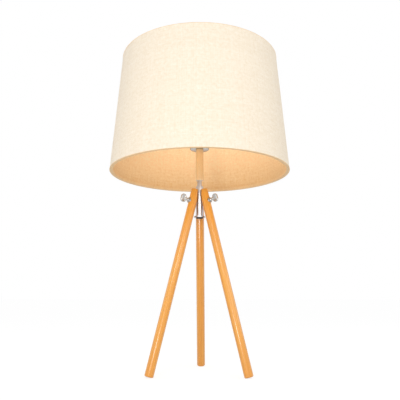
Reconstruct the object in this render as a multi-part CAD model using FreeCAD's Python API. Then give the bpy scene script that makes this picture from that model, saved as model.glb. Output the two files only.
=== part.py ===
"""Tripod table lamp.

Three round legs splay out of a grooved wooden hub and are clamped there by wing screws.
A slim wooden post on the hub carries an E27 lampholder with its bulb, and a tapered drum
shade hangs round them on a spider that the lampholder's ring nut holds down.

Millimetres.  The origin lies on the table under the lamp's axis, +Z is up, -Y is the front.
"""
import math
import os

import FreeCAD
import Part

# ------------------------------------------------------------------ driving dimensions
# Legs: round dowels, square-cut at both ends
LEG_D = 14.0
LEG_SPLAY = 15.0                # degrees between a leg and the vertical
FOOT_CIRCLE_R = 86.0            # lamp axis to a leg's axis, on the table
FOOT_ROUND = 1.5                # round on the edge of a foot
FOOT_FLAT_DEPTH = 0.4           # how deep the level standing facet is cut into that round
LEG_TOP_ROUND = 0.8
LEG_NAMES = ("back", "front_left", "front_right")    # evenly round the lamp, from +Y

# Hub: a turned block, a little wider at its foot, with one slanted groove for each leg
HUB_BOTTOM_Z = 246.5
HUB_H = 63.0
HUB_TOP_D = 25.0
HUB_BOTTOM_D = 28.5
HUB_EDGE_ROUND = 1.0
HUB_HEAD_H = 16.5               # whole wood above the ends of the legs
CHEEK_WALL = 1.45               # wood between the steel core and the flat that a leg seats on
GROOVE_CLEARANCE = 0.15
GROOVE_END_GAP = 0.3

# Steel core of the hub, which the wing screws and the stem tube are screwed into
CORE_D = 12.0
CORE_TOP_MARGIN = 10.0          # hub top down to the core's top
CORE_FLANGE_D = 19.0
CORE_FLANGE_T = 2.0
CORE_FIT = 0.05                 # radial

# Wing screws and their saddle washers
SCREW_RISE = 26.3               # hub foot up to where a screw's axis meets the leg's axis
SCREW_D = 4.0
SCREW_PITCH = 0.7
SCREW_FIT = 0.05                # radial, thread to tapped hole
SCREW_CLEARANCE = 0.25          # radial, in the leg, the hub's wood and the washer
SCREW_TIP_GAP = 0.6             # screw tip to the cord's way through the core
SCREW_SHOULDER_D = 7.0
SCREW_SHOULDER_T = 1.0
SCREW_NECK_D = 5.4
SCREW_NECK_L = 3.6
WING_W = 14.0
WING_L = 9.6
WING_T = 2.4
WING_CORNER_R = 4.4
WING_EDGE_ROUND = 0.7
SADDLE_D = 9.4
SADDLE_T = 1.2                  # at its thinnest, on the crest of the leg
SADDLE_GAP = 0.1                # running gap between the saddle and the leg

# Way of the cord: bush, core and stem tube
CORD_HOLE_D = 6.0
CORE_BORE_D = 6.6
BUSH_D = 9.0
BUSH_H = 5.0
BUSH_FLANGE_D = 12.0
BUSH_FLANGE_T = 1.4
BUSH_FIT = 0.05                 # radial
TUBE_D = 8.0
TUBE_BORE_D = 5.6
TUBE_FIT = 0.05                 # radial, thread to tapped bore
TUBE_ENGAGEMENT = 21.0          # length screwed into the core
TUBE_CLEARANCE = 0.15           # radial, in the hub, the post and the plates
TUBE_END = 2.5                  # tube above its nut

# Post and seat disc
POST_D = 13.0
POST_H = 56.5
POST_EDGE_ROUND = 0.5
DISC_D = 33.0
DISC_T = 2.0
DISC_LIP_R = 1.8

# Lampholder
BARREL_D = 39.4
BARREL_H = 32.0                 # above the shade's seat
BARREL_WALL = 1.9
CAP_STEP = 0.3                  # radial, cap outside the barrel
CAP_H = 24.0
CAP_WALL = 1.6
CAP_CURVE_R = 8.0               # curve from the cap's floor up to its side
CAP_NUT_AF = 13.0
CAP_NUT_H = 4.0
INSERT_FLANGE_T = 2.0
INSERT_RISE = 6.0               # top of the insert above the shade's seat
SPIGOT_H = 6.0
SPIGOT_FIT = 0.1                # radial
SHOULDER_W = 3.8                # radial, shoulder outside the barrel
SHOULDER_T = 3.0
SHELL_CLEARANCE = 0.35          # radial, bulb cap to screw shell
SHELL_T = 0.5
SHELL_RIM_MARGIN = 1.0          # shell's rim below the barrel's rim
CONTACT_W = 6.0
CONTACT_T = 0.5
CONTACT_H = 3.5
CONTACT_L = 10.0
TERMINAL_OFFSET = 9.5
TERMINAL_HEAD_D = 5.0
TERMINAL_HEAD_T = 2.2
TERMINAL_SHANK_D = 3.0
TERMINAL_SHANK_L = 5.0

# Bulb
BULB_CAP_D = 26.2
BULB_CAP_WALL = 0.4
BULB_CAP_H = 27.0               # contact plate up to the rim of the cap
BULB_TIP_D = 9.2
BULB_TIP_H = 1.6
BULB_INSULATOR_H = 4.0
BULB_INSULATOR_D = 21.0
BULB_D = 60.0
BULB_H = 106.0
BULB_NECK_CURVE_R = 35.0
BULB_GLASS_T = 1.0
BULB_NECK_DEPTH = 5.0           # glass neck inside the cap
CONTACT_GAP = 0.1               # bulb's contact plate to the contact tongue

# Shade, its spider and ring nut
SHADE_BOTTOM_D = 300.0
SHADE_TOP_D = 268.0
SHADE_H = 200.0
SHADE_RISE = 127.0              # shade's seat on the lampholder up to the shade's top
SKIN_T = 0.7
LINER_T = 0.8
SHADE_WIRE_D = 3.0
WIRE_GAP = 0.05                 # wire ring to liner and hem
HEM_T = 0.5
HEM_LEG_H = 5.0                 # hem turned in over the wire ring
SPIDER_RING_CLEARANCE = 1.3     # radial, ring to barrel
SPIDER_RING_W = 6.0
SPIDER_RING_T = 2.0
ARM_D = 3.2
ARM_START_GAP = 1.1             # shoulder to an arm's inner end
ARM_FLAT_L = 11.4               # an arm's level length, up to where its two lines would meet
ARM_BEND_R = 8.0
ARM_NOTCH_GAP = 0.4             # hem cut away round an arm
ARM_NAMES = ("back", "left", "right")                # evenly round the lamp, from +Y
TURN_GAP = 0.1                  # between the faces of pieces that turn on each other
NUT_FLANGE_LAP = 1.5            # radial, flange over the spider's ring
NUT_FLANGE_T = 2.4
NUT_COLLAR_WALL = 3.7
NUT_H = 8.0
NUT_FIT = 0.1                   # radial, ring nut to the barrel

# ------------------------------------------------------------------ derived places
SIN = math.sin(math.radians(LEG_SPLAY))
COS = math.cos(math.radians(LEG_SPLAY))
LEG_AZIMUTHS = {name: 90 + 360 / len(LEG_NAMES) * i for i, name in enumerate(LEG_NAMES)}
ARM_AZIMUTHS = {name: 90 + 360 / len(ARM_NAMES) * i for i, name in enumerate(ARM_NAMES)}
LEG_R = LEG_D / 2
HUB_TOP_Z = HUB_BOTTOM_Z + HUB_H
CHEEK_R = CORE_D / 2 + CORE_FIT + CHEEK_WALL
# distances along a leg's axis, from where it meets the table
LEG_START = (LEG_R * SIN - FOOT_ROUND * (SIN + COS - 1) - FOOT_FLAT_DEPTH) / COS
LEG_END = (HUB_TOP_Z - HUB_HEAD_H) / COS
SCREW_AT = (HUB_BOTTOM_Z + SCREW_RISE) / COS
# distances along a screw's axis, from the leg's axis outwards
SCREW_TIP = (CORE_BORE_D / 2 + SCREW_TIP_GAP - (FOOT_CIRCLE_R - SCREW_AT * SIN)) / COS
SADDLE_INNER = LEG_R + SADDLE_GAP
SADDLE_OUTER = SADDLE_INNER + SADDLE_T
WING_START = SADDLE_OUTER + SCREW_SHOULDER_T + SCREW_NECK_L
CORE_TOP_Z = HUB_TOP_Z - CORE_TOP_MARGIN
TUBE_BOTTOM_Z = CORE_TOP_Z - TUBE_ENGAGEMENT
DISC_Z = HUB_TOP_Z + POST_H
CAP_Z = DISC_Z + DISC_T
CAP_TOP_Z = CAP_Z + CAP_H
NUT_SEAT_Z = CAP_Z + CAP_WALL
TUBE_TOP_Z = NUT_SEAT_Z + CAP_NUT_H + TUBE_END
SEAT_Z = CAP_TOP_Z + SHOULDER_T
BARREL_TOP_Z = SEAT_Z + BARREL_H
INSERT_TOP_Z = SEAT_Z + INSERT_RISE
INSERT_R = BARREL_D / 2 - BARREL_WALL - SPIGOT_FIT
SHOULDER_D = BARREL_D + 2 * SHOULDER_W
CAP_D = BARREL_D + 2 * CAP_STEP
SPIGOT_R = CAP_D / 2 - CAP_WALL - SPIGOT_FIT
SPIGOT_BOTTOM_Z = CAP_TOP_Z - SPIGOT_H
LEDGE_Z = SPIGOT_BOTTOM_Z - INSERT_FLANGE_T
SHELL_BORE_D = BULB_CAP_D + 2 * SHELL_CLEARANCE
SHELL_R = SHELL_BORE_D / 2 + SHELL_T
BULB_Z = INSERT_TOP_Z + CONTACT_H + CONTACT_GAP
BULB_TOP_Z = BULB_Z + BULB_H
SPIDER_Z = SEAT_Z + TURN_GAP
SPIDER_RING_BORE_D = BARREL_D + 2 * SPIDER_RING_CLEARANCE
SPIDER_RING_D = SPIDER_RING_BORE_D + 2 * SPIDER_RING_W
ARM_START_R = SHOULDER_D / 2 + ARM_START_GAP
ARM_BEND_AT_R = ARM_START_R + ARM_FLAT_L
RING_NUT_Z = SPIDER_Z + SPIDER_RING_T + TURN_GAP
SHADE_TOP_Z = SEAT_Z + SHADE_RISE
SHADE_BOTTOM_Z = SHADE_TOP_Z - SHADE_H
SHADE_TAPER = (SHADE_BOTTOM_D - SHADE_TOP_D) / 2 / SHADE_H
WIRE_R = SHADE_WIRE_D / 2
FAR = 1000.0                    # longer than the lamp, for cutting tools

UP = FreeCAD.Vector(0, 0, 1)
ORIGIN = FreeCAD.Vector(0, 0, 0)


# ------------------------------------------------------------------ helpers
def at(r, z):
    """Point in the X-Z plane, r from the lamp's axis and z above the table."""
    return FreeCAD.Vector(r, 0, z)


def turned(start, *moves):
    """Solid of revolution about Z.

    A move is the (r, z) end of a straight edge, or a (middle, end) pair for an arc.
    """
    edges = []
    here = start
    for move in moves + (start,):
        if isinstance(move[0], tuple):
            middle, end = move
            edges.append(Part.Arc(at(*here), at(*middle), at(*end)).toShape())
        else:
            end = move
            edges.append(Part.LineSegment(at(*here), at(*end)).toShape())
        here = end
    return Part.Face(Part.Wire(edges)).revolve(ORIGIN, UP, 360)


def quarter(centre, radius, from_angle, to_angle):
    """Middle and end of an arc about (r, z) centre, between two angles in degrees."""
    points = []
    for angle in ((from_angle + to_angle) / 2, to_angle):
        turn = math.radians(angle)
        points.append((centre[0] + radius * math.cos(turn), centre[1] + radius * math.sin(turn)))
    return tuple(points)


def ring(outer_d, bore_d, z, height):
    """Plain round ring, standing on height z."""
    outer = Part.makeCylinder(outer_d / 2, height, at(0, z))
    return outer.cut(Part.makeCylinder(bore_d / 2, height, at(0, z)))


def turn_about_axis(shape, azimuth):
    """Copy of a shape turned about the lamp's axis."""
    copy = shape.copy()
    copy.rotate(ORIGIN, UP, azimuth)
    return copy


def lean(shape):
    """Put a shape that was made round Z, standing on the origin, onto a leg's axis.

    The shape's Z runs up the leg and its X points outwards, square to the leg.
    """
    copy = shape.copy()
    copy.rotate(ORIGIN, FreeCAD.Vector(0, 1, 0), -LEG_SPLAY)
    copy.translate(at(FOOT_CIRCLE_R, 0))
    return copy


def along_screw(radius, start, end):
    """Cylinder on a screw's axis, in the frame that lean() moves."""
    outwards = FreeCAD.Vector(1, 0, 0)
    return Part.makeCylinder(radius, end - start, at(start, SCREW_AT), outwards)


def core_side():
    """Everything nearer to the lamp's axis than the flat that a leg seats on."""
    corner = FreeCAD.Vector(-FAR, -FAR, -FAR)
    return Part.makeBox(FAR + CHEEK_R, 2 * FAR, 2 * FAR, corner)


# ------------------------------------------------------------------ legs and hub
def leg():
    """Leg that leans in the X-Z plane: a dowel with a flat cheek, a foot facet, a screw hole."""
    bottom = LEG_START
    top = LEG_END
    edge = LEG_R - FOOT_ROUND
    tip = LEG_R - LEG_TOP_ROUND
    dowel = turned(
        (0, bottom),
        (edge, bottom),
        quarter((edge, bottom + FOOT_ROUND), FOOT_ROUND, -90, 0),
        (LEG_R, top - LEG_TOP_ROUND),
        quarter((tip, top - LEG_TOP_ROUND), LEG_TOP_ROUND, 0, 90),
        (0, top),
    )
    hole = along_screw(SCREW_D / 2 + SCREW_CLEARANCE, -LEG_D, LEG_D)
    leaning = lean(dowel.cut(hole))
    below_table = Part.makeBox(FAR, FAR, FAR, FreeCAD.Vector(0, -FAR / 2, -FAR))
    return leaning.cut(core_side()).cut(below_table)


def groove():
    """Space that one leg takes out of the hub: half round, with a flat bottom."""
    length = LEG_END + GROOVE_END_GAP
    way = Part.makeCylinder(LEG_R + GROOVE_CLEARANCE, length)
    return lean(way).cut(core_side())


def hub():
    """Turned block with three slanted grooves, bored for the core, the tube and the screws."""
    foot_r = HUB_BOTTOM_D / 2
    head_r = HUB_TOP_D / 2
    block = turned((0, HUB_BOTTOM_Z), (foot_r, HUB_BOTTOM_Z), (head_r, HUB_TOP_Z), (0, HUB_TOP_Z))
    rims = [edge for edge in block.Edges if edge.Closed]
    block = block.makeFillet(HUB_EDGE_ROUND, rims)
    flange_r = CORE_FLANGE_D / 2 + CORE_FIT
    cuts = [
        Part.makeCylinder(flange_r, CORE_FLANGE_T, at(0, HUB_BOTTOM_Z)),
        Part.makeCylinder(CORE_D / 2 + CORE_FIT, CORE_TOP_Z - HUB_BOTTOM_Z, at(0, HUB_BOTTOM_Z)),
        Part.makeCylinder(TUBE_D / 2 + TUBE_CLEARANCE, HUB_H, at(0, HUB_BOTTOM_Z)),
    ]
    hole = lean(along_screw(SCREW_D / 2 + SCREW_CLEARANCE, SCREW_TIP, LEG_R))
    for azimuth in LEG_AZIMUTHS.values():
        cuts.append(turn_about_axis(groove(), azimuth))
        cuts.append(turn_about_axis(hole, azimuth))
    for tool in cuts:
        block = block.cut(tool)
    return block


def hub_core():
    """Flanged steel core: tapped above for the tube, open below for the cord, tapped
    through its wall for the three wing screws."""
    core = Part.makeCylinder(CORE_D / 2, CORE_TOP_Z - HUB_BOTTOM_Z, at(0, HUB_BOTTOM_Z))
    core = core.fuse(Part.makeCylinder(CORE_FLANGE_D / 2, CORE_FLANGE_T, at(0, HUB_BOTTOM_Z)))
    bores = [
        Part.makeCylinder(CORE_BORE_D / 2, CORE_TOP_Z - HUB_BOTTOM_Z, at(0, HUB_BOTTOM_Z)),
        Part.makeCylinder(BUSH_D / 2 + BUSH_FIT, BUSH_H, at(0, HUB_BOTTOM_Z)),
        Part.makeCylinder(TUBE_D / 2 + TUBE_FIT, TUBE_ENGAGEMENT, at(0, TUBE_BOTTOM_Z)),
    ]
    tapped = lean(along_screw(SCREW_D / 2, SCREW_TIP - CORE_BORE_D / 2, 0))
    for azimuth in LEG_AZIMUTHS.values():
        bores.append(turn_about_axis(tapped, azimuth))
    for tool in bores:
        core = core.cut(tool)
    return core


def cord_bush():
    """Plastic bush in the core's mouth, with a rounded flange that covers the steel edge."""
    bore_r = CORD_HOLE_D / 2
    flange_r = BUSH_FLANGE_D / 2
    lip = BUSH_FLANGE_T / 2
    bottom = HUB_BOTTOM_Z - BUSH_FLANGE_T
    return turned(
        (bore_r, bottom + lip),
        quarter((bore_r + lip, bottom + lip), lip, 180, 270),
        (flange_r - lip, bottom),
        quarter((flange_r - lip, bottom + lip), lip, -90, 0),
        (flange_r, HUB_BOTTOM_Z),
        (BUSH_D / 2, HUB_BOTTOM_Z),
        (BUSH_D / 2, HUB_BOTTOM_Z + BUSH_H),
        (bore_r, HUB_BOTTOM_Z + BUSH_H),
    )


def stem_tube():
    """Threaded tube from the hub's core up through the post into the lampholder."""
    return ring(TUBE_D, TUBE_BORE_D, TUBE_BOTTOM_Z, TUBE_TOP_Z - TUBE_BOTTOM_Z)


def post():
    """Wooden post, bored for the tube."""
    dowel = ring(POST_D, TUBE_D + 2 * TUBE_CLEARANCE, HUB_TOP_Z, POST_H)
    rims = [edge for edge in dowel.Edges if edge.Closed and edge.BoundBox.XLength > TUBE_D * 1.2]
    return dowel.makeFillet(POST_EDGE_ROUND, rims)


# ------------------------------------------------------------------ wing screws
def saddle_washer():
    """Round washer whose inner face follows the leg."""
    blank = along_screw(SADDLE_D / 2, 0, SADDLE_OUTER)
    leg_way = Part.makeCylinder(SADDLE_INNER, 2 * LEG_END)
    hole = along_screw(SCREW_D / 2 + SCREW_CLEARANCE, 0, SADDLE_OUTER)
    return lean(blank.cut(leg_way).cut(hole))


def wing_screw():
    """Wing screw: threaded shank, shoulder and neck, and a flat wing with rounded corners."""
    shank = along_screw(SCREW_D / 2 - SCREW_FIT, SCREW_TIP, WING_START)
    shoulder = along_screw(SCREW_SHOULDER_D / 2, SADDLE_OUTER, SADDLE_OUTER + SCREW_SHOULDER_T)
    neck = along_screw(SCREW_NECK_D / 2, SADDLE_OUTER, WING_START + WING_L / 2)
    corner = FreeCAD.Vector(WING_START, -WING_T / 2, SCREW_AT - WING_W / 2)
    wing = Part.makeBox(WING_L, WING_T, WING_W, corner)
    corners = [edge for edge in wing.Edges if edge.BoundBox.YLength > WING_T / 2]
    wing = wing.makeFillet(WING_CORNER_R, corners)
    outline = [edge for edge in wing.Edges if edge.BoundBox.YLength < WING_T / 2]
    wing = wing.makeFillet(WING_EDGE_ROUND, outline)
    return lean(shank.fuse([shoulder, neck, wing]).removeSplitter())


# ------------------------------------------------------------------ lampholder
def seat_disc():
    """Plated disc between the post and the lampholder, turned up at its rim."""
    outer = DISC_D / 2
    bore = TUBE_D / 2 + TUBE_CLEARANCE
    edge = outer - DISC_LIP_R
    return turned(
        (bore, DISC_Z),
        (edge, DISC_Z),
        quarter((edge, DISC_Z + DISC_LIP_R), DISC_LIP_R, -90, 0),
        (outer, CAP_Z),
        (bore, CAP_Z),
    )


def lampholder_cap():
    """Cup-shaped cap: its floor takes the tube's nut, its ledge carries the insert."""
    outer = CAP_D / 2
    curve = CAP_CURVE_R
    foot = outer - curve
    inner_curve = curve - CAP_WALL
    bore = TUBE_D / 2 + TUBE_CLEARANCE
    ledge_r = INSERT_R - CAP_WALL
    top_r = outer - CAP_WALL
    return turned(
        (bore, CAP_Z),
        (foot, CAP_Z),
        quarter((foot, CAP_Z + curve), curve, -90, 0),
        (outer, CAP_TOP_Z),
        (top_r, CAP_TOP_Z),
        (top_r, LEDGE_Z),
        (ledge_r, LEDGE_Z),
        (ledge_r, NUT_SEAT_Z + inner_curve),
        quarter((ledge_r - inner_curve, NUT_SEAT_Z + inner_curve), inner_curve, 0, -90),
        (bore, NUT_SEAT_Z),
    )


def cap_nut():
    """Thin hexagon nut that clamps the cap, disc, post and hub on the tube."""
    reach = CAP_NUT_AF / math.sqrt(3)
    corners = []
    for step in range(7):
        turn = math.radians(60 * step)
        corners.append(FreeCAD.Vector(reach * math.cos(turn), reach * math.sin(turn), NUT_SEAT_Z))
    prism = Part.Face(Part.makePolygon(corners)).extrude(UP * CAP_NUT_H)
    return prism.cut(Part.makeCylinder(TUBE_D / 2 + TUBE_FIT, CAP_NUT_H, at(0, NUT_SEAT_Z)))


def lampholder_insert():
    """Ceramic insert: a flanged block with a wire hole and seats for two terminal screws."""
    flange = Part.makeCylinder(SPIGOT_R, INSERT_FLANGE_T, at(0, LEDGE_Z))
    block = Part.makeCylinder(INSERT_R, INSERT_TOP_Z - LEDGE_Z, at(0, LEDGE_Z)).fuse(flange)
    for side in (-1, 1):
        centre = FreeCAD.Vector(side * TERMINAL_OFFSET, 0, LEDGE_Z)
        block = block.cut(Part.makeCylinder(TERMINAL_SHANK_D / 2, TERMINAL_SHANK_L, centre))
    return block


def terminal_screws():
    """Two brass terminal screws in the insert's underside."""
    screws = []
    for side in (-1, 1):
        head = FreeCAD.Vector(side * TERMINAL_OFFSET, 0, LEDGE_Z - TERMINAL_HEAD_T)
        length = TERMINAL_HEAD_T + TERMINAL_SHANK_L
        screw = Part.makeCylinder(TERMINAL_HEAD_D / 2, TERMINAL_HEAD_T, head)
        screws.append(screw.fuse(Part.makeCylinder(TERMINAL_SHANK_D / 2, length, head)))
    return Part.makeCompound(screws)


def lampholder_barrel():
    """Threaded barrel with the shoulder that the shade stands on and a spigot in the cap."""
    bore = BARREL_D / 2 - BARREL_WALL
    barrel = ring(BARREL_D, 2 * bore, SPIGOT_BOTTOM_Z, BARREL_TOP_Z - SPIGOT_BOTTOM_Z)
    way = Part.makeCylinder(FAR, CAP_TOP_Z - SPIGOT_BOTTOM_Z, at(0, SPIGOT_BOTTOM_Z))
    spigot = ring(2 * SPIGOT_R, 2 * bore, SPIGOT_BOTTOM_Z, SPIGOT_H)
    shoulder = ring(SHOULDER_D, 2 * bore, CAP_TOP_Z, SHOULDER_T)
    return barrel.cut(way).fuse([spigot, shoulder])


def screw_shell():
    """Brass shell that the bulb is screwed into, standing on the insert."""
    height = BARREL_TOP_Z - SHELL_RIM_MARGIN - INSERT_TOP_Z
    wall = ring(2 * SHELL_R, SHELL_BORE_D, INSERT_TOP_Z, height)
    return wall.fuse(ring(2 * SHELL_R, SHELL_BORE_D - 3 * SHELL_T, INSERT_TOP_Z, SHELL_T))


def centre_contact():
    """Sprung tongue under the bulb, bent up from the insert."""
    half = CONTACT_L / 2
    top = INSERT_TOP_Z + CONTACT_H
    outline = [
        at(-half, INSERT_TOP_Z),
        at(half, INSERT_TOP_Z),
        at(half, INSERT_TOP_Z + CONTACT_T),
        at(-half + 2 * CONTACT_T, INSERT_TOP_Z + CONTACT_T),
        at(-half + 2 * CONTACT_T, top - CONTACT_T),
        at(half, top - CONTACT_T),
        at(half, top),
        at(-half, top),
        at(-half, INSERT_TOP_Z),
    ]
    strip = Part.Face(Part.makePolygon(outline))
    strip.translate(FreeCAD.Vector(0, -CONTACT_W / 2, 0))
    return strip.extrude(FreeCAD.Vector(0, CONTACT_W, 0))


# ------------------------------------------------------------------ bulb
def bulb_glass():
    """Opal glass envelope: a ball that a hollow curve draws into the neck."""
    ball_r = BULB_D / 2
    neck_r = BULB_CAP_D / 2 - BULB_CAP_WALL
    bottom = BULB_Z + BULB_CAP_H - BULB_NECK_DEPTH
    ball_z = BULB_TOP_Z - ball_r
    curve_r = neck_r + BULB_NECK_CURVE_R
    drop = math.sqrt((ball_r + BULB_NECK_CURVE_R) ** 2 - curve_r ** 2)
    curve = (curve_r, ball_z - drop)
    lean_angle = math.degrees(math.atan2(drop, curve_r))

    def envelope(inset):
        """Filled envelope, inset from the outer face."""
        join = ball_r - inset
        curve_radius = BULB_NECK_CURVE_R + inset
        return turned(
            (0, bottom),
            (neck_r - inset, bottom),
            (neck_r - inset, curve[1]),
            quarter(curve, curve_radius, 180, 180 - lean_angle),
            quarter((0, ball_z), join, -lean_angle, 90),
        )

    return envelope(0).cut(envelope(BULB_GLASS_T))


def bulb_cap():
    """Screw cap of the bulb, drawn in at its foot."""
    outer = BULB_CAP_D / 2
    wall = BULB_CAP_WALL
    foot_r = BULB_INSULATOR_D / 2
    foot_z = BULB_Z + BULB_TIP_H + BULB_INSULATOR_H
    side_z = foot_z + outer - foot_r
    top = BULB_Z + BULB_CAP_H
    return turned(
        (foot_r, foot_z),
        (outer, side_z),
        (outer, top),
        (outer - wall, top),
        (outer - wall, side_z + wall),
        (foot_r - wall, foot_z + wall),
        (foot_r - wall, foot_z),
    )


def bulb_insulator():
    """Black glass cone between the cap and the contact plate."""
    base = BULB_Z + BULB_TIP_H
    return Part.makeCone(BULB_TIP_D / 2, BULB_INSULATOR_D / 2, BULB_INSULATOR_H, at(0, base))


def bulb_contact():
    """Domed contact plate at the bulb's foot."""
    radius = BULB_TIP_D / 2
    top = BULB_Z + BULB_TIP_H
    sag = BULB_TIP_H / 2
    middle = (radius * math.sqrt(0.5), BULB_Z + sag * (1 - math.sqrt(0.5)))
    return turned((0, BULB_Z), (middle, (radius, BULB_Z + sag)), (radius, top), (0, top))


# ------------------------------------------------------------------ shade
def shade_radius(z, inset):
    """Radius of the shade's wall at height z, inset from its outer face."""
    return SHADE_TOP_D / 2 + (SHADE_TOP_Z - z) * SHADE_TAPER - inset


def shade_layer(outer_inset, thickness):
    """One layer of the tapered wall, between the two hems."""
    bottom = SHADE_BOTTOM_Z + HEM_T
    top = SHADE_TOP_Z - HEM_T
    inner_inset = outer_inset + thickness
    return turned(
        (shade_radius(bottom, outer_inset), bottom),
        (shade_radius(top, outer_inset), top),
        (shade_radius(top, inner_inset), top),
        (shade_radius(bottom, inner_inset), bottom),
    )


def wire_place(end_z, inwards):
    """Radius and height of a wire ring's centre line; inwards is -1 at the top, 1 below."""
    z = end_z + inwards * (HEM_T + WIRE_GAP + WIRE_R)
    slant = math.sqrt(1 + SHADE_TAPER ** 2)
    return shade_radius(z, SKIN_T + LINER_T + (WIRE_GAP + WIRE_R) * slant), z


def wire_ring(end_z, inwards):
    """Round wire hoop that keeps one end of the shade open."""
    radius, z = wire_place(end_z, inwards)
    return Part.makeTorus(radius, WIRE_R, at(0, z))


def hem(end_z, inwards):
    """Fabric turned in over a wire ring at one end of the shade."""
    wire_r, _ = wire_place(end_z, inwards)
    outer = shade_radius(end_z, 0)
    shelf_z = end_z + inwards * HEM_T
    leg_z = end_z + inwards * HEM_LEG_H
    leg_outer = wire_r - WIRE_R - WIRE_GAP
    band = turned(
        (outer, end_z),
        (shade_radius(shelf_z, 0), shelf_z),
        (leg_outer, shelf_z),
        (leg_outer, leg_z),
        (leg_outer - HEM_T, leg_z),
        (leg_outer - HEM_T, end_z),
    )
    rims = []
    for edge in band.Edges:
        if edge.Closed and abs(edge.BoundBox.Center.z - end_z) < HEM_T / 4:
            rims.append(edge)
    return band.makeFillet(HEM_T * 0.8, rims)


def arm_path():
    """Centre line of a spider arm in the X-Z plane: out under the ring, then up to the wire."""
    low_z = SPIDER_Z - ARM_D / 2
    start = at(ARM_START_R, low_z)
    bend = at(ARM_BEND_AT_R, low_z)
    wire_r, wire_z = wire_place(SHADE_TOP_Z, -1)
    rise = (at(wire_r, wire_z) - bend).normalize()
    end = at(wire_r, wire_z) - rise * (WIRE_R + WIRE_GAP)
    angle = math.atan2(rise.z, rise.x)
    cut_back = ARM_BEND_R * math.tan(angle / 2)
    leave = bend - FreeCAD.Vector(cut_back, 0, 0)
    meet = bend + rise * cut_back
    centre = leave + UP * ARM_BEND_R
    half = angle / 2 - math.pi / 2
    middle = centre + FreeCAD.Vector(math.cos(half), 0, math.sin(half)) * ARM_BEND_R
    return Part.Wire([
        Part.LineSegment(start, leave).toShape(),
        Part.Arc(leave, middle, meet).toShape(),
        Part.LineSegment(meet, end).toShape(),
    ])


def arm(diameter):
    """Bent round bar along the arm's centre line."""
    path = arm_path()
    outwards = FreeCAD.Vector(1, 0, 0)
    section = Part.Wire([Part.makeCircle(diameter / 2, path.Vertexes[0].Point, outwards)])
    return path.makePipeShell([section], True, False)


def top_hem():
    """Upper hem, slit where the spider's arms reach the wire ring."""
    band = hem(SHADE_TOP_Z, -1)
    slit = arm(ARM_D + 2 * ARM_NOTCH_GAP)
    for azimuth in ARM_AZIMUTHS.values():
        band = band.cut(turn_about_axis(slit, azimuth))
    return band


def ring_nut():
    """Threaded ring nut that holds the spider down on the shoulder."""
    bore_d = BARREL_D + 2 * NUT_FIT
    flange = ring(SPIDER_RING_D + 2 * NUT_FLANGE_LAP, bore_d, RING_NUT_Z, NUT_FLANGE_T)
    return flange.fuse(ring(bore_d + 2 * NUT_COLLAR_WALL, bore_d, RING_NUT_Z, NUT_H))


# ------------------------------------------------------------------ the whole lamp
def lamp():
    """Every sub-part by name."""
    parts = {
        "hub": hub(),
        "hub_core": hub_core(),
        "cord_bush": cord_bush(),
        "stem_tube": stem_tube(),
        "post": post(),
        "seat_disc": seat_disc(),
        "lampholder_cap": lampholder_cap(),
        "cap_nut": cap_nut(),
        "lampholder_insert": lampholder_insert(),
        "terminal_screws": terminal_screws(),
        "lampholder_barrel": lampholder_barrel(),
        "screw_shell": screw_shell(),
        "centre_contact": centre_contact(),
        "bulb_glass": bulb_glass(),
        "bulb_cap": bulb_cap(),
        "bulb_insulator": bulb_insulator(),
        "bulb_contact": bulb_contact(),
        "shade_skin": shade_layer(0, SKIN_T),
        "shade_liner": shade_layer(SKIN_T, LINER_T),
        "shade_top_wire": wire_ring(SHADE_TOP_Z, -1),
        "shade_bottom_wire": wire_ring(SHADE_BOTTOM_Z, 1),
        "shade_top_hem": top_hem(),
        "shade_bottom_hem": hem(SHADE_BOTTOM_Z, 1),
        "spider_ring": ring(SPIDER_RING_D, SPIDER_RING_BORE_D, SPIDER_Z, SPIDER_RING_T),
        "shade_ring_nut": ring_nut(),
    }
    for name, azimuth in LEG_AZIMUTHS.items():
        parts["leg_" + name] = turn_about_axis(leg(), azimuth)
        parts["saddle_washer_" + name] = turn_about_axis(saddle_washer(), azimuth)
        parts["wing_screw_" + name] = turn_about_axis(wing_screw(), azimuth)
    for name, azimuth in ARM_AZIMUTHS.items():
        parts["spider_arm_" + name] = turn_about_axis(arm(ARM_D), azimuth)
    return parts


os.makedirs("parts", exist_ok=True)
for node, shape in lamp().items():
    shape.exportStep(os.path.join("parts", node + ".step"))
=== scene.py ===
"""Looks of the tripod table lamp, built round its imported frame.

Three round legs stand in the grooves of a turned hub, held there by wing screws.  A slim post
on the hub carries the lampholder, its bulb and a tapered linen shade.

Metres.  The origin lies on the table under the lamp's axis, +Z is up, -Y is the front.
"""
import logging
import math
from dataclasses import dataclass
from enum import Enum
from typing import Callable, Iterable, Protocol, Sequence

import bmesh
import bpy
from mathutils import Matrix, Vector, noise


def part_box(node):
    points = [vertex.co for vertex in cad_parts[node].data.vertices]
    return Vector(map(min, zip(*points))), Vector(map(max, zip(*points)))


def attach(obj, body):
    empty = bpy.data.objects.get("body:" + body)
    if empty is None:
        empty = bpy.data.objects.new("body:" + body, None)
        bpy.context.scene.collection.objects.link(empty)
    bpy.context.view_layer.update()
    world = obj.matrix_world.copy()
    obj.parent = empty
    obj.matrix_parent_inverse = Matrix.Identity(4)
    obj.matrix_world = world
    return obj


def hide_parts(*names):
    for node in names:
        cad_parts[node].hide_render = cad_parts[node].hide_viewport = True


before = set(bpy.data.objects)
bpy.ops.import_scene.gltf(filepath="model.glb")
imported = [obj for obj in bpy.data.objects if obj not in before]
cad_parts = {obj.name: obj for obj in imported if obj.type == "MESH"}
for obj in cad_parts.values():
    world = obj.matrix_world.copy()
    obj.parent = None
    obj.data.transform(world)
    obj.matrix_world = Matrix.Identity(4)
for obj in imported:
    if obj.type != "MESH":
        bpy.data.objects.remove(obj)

LOG = logging.getLogger("lamp")
MM = 0.001
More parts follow.
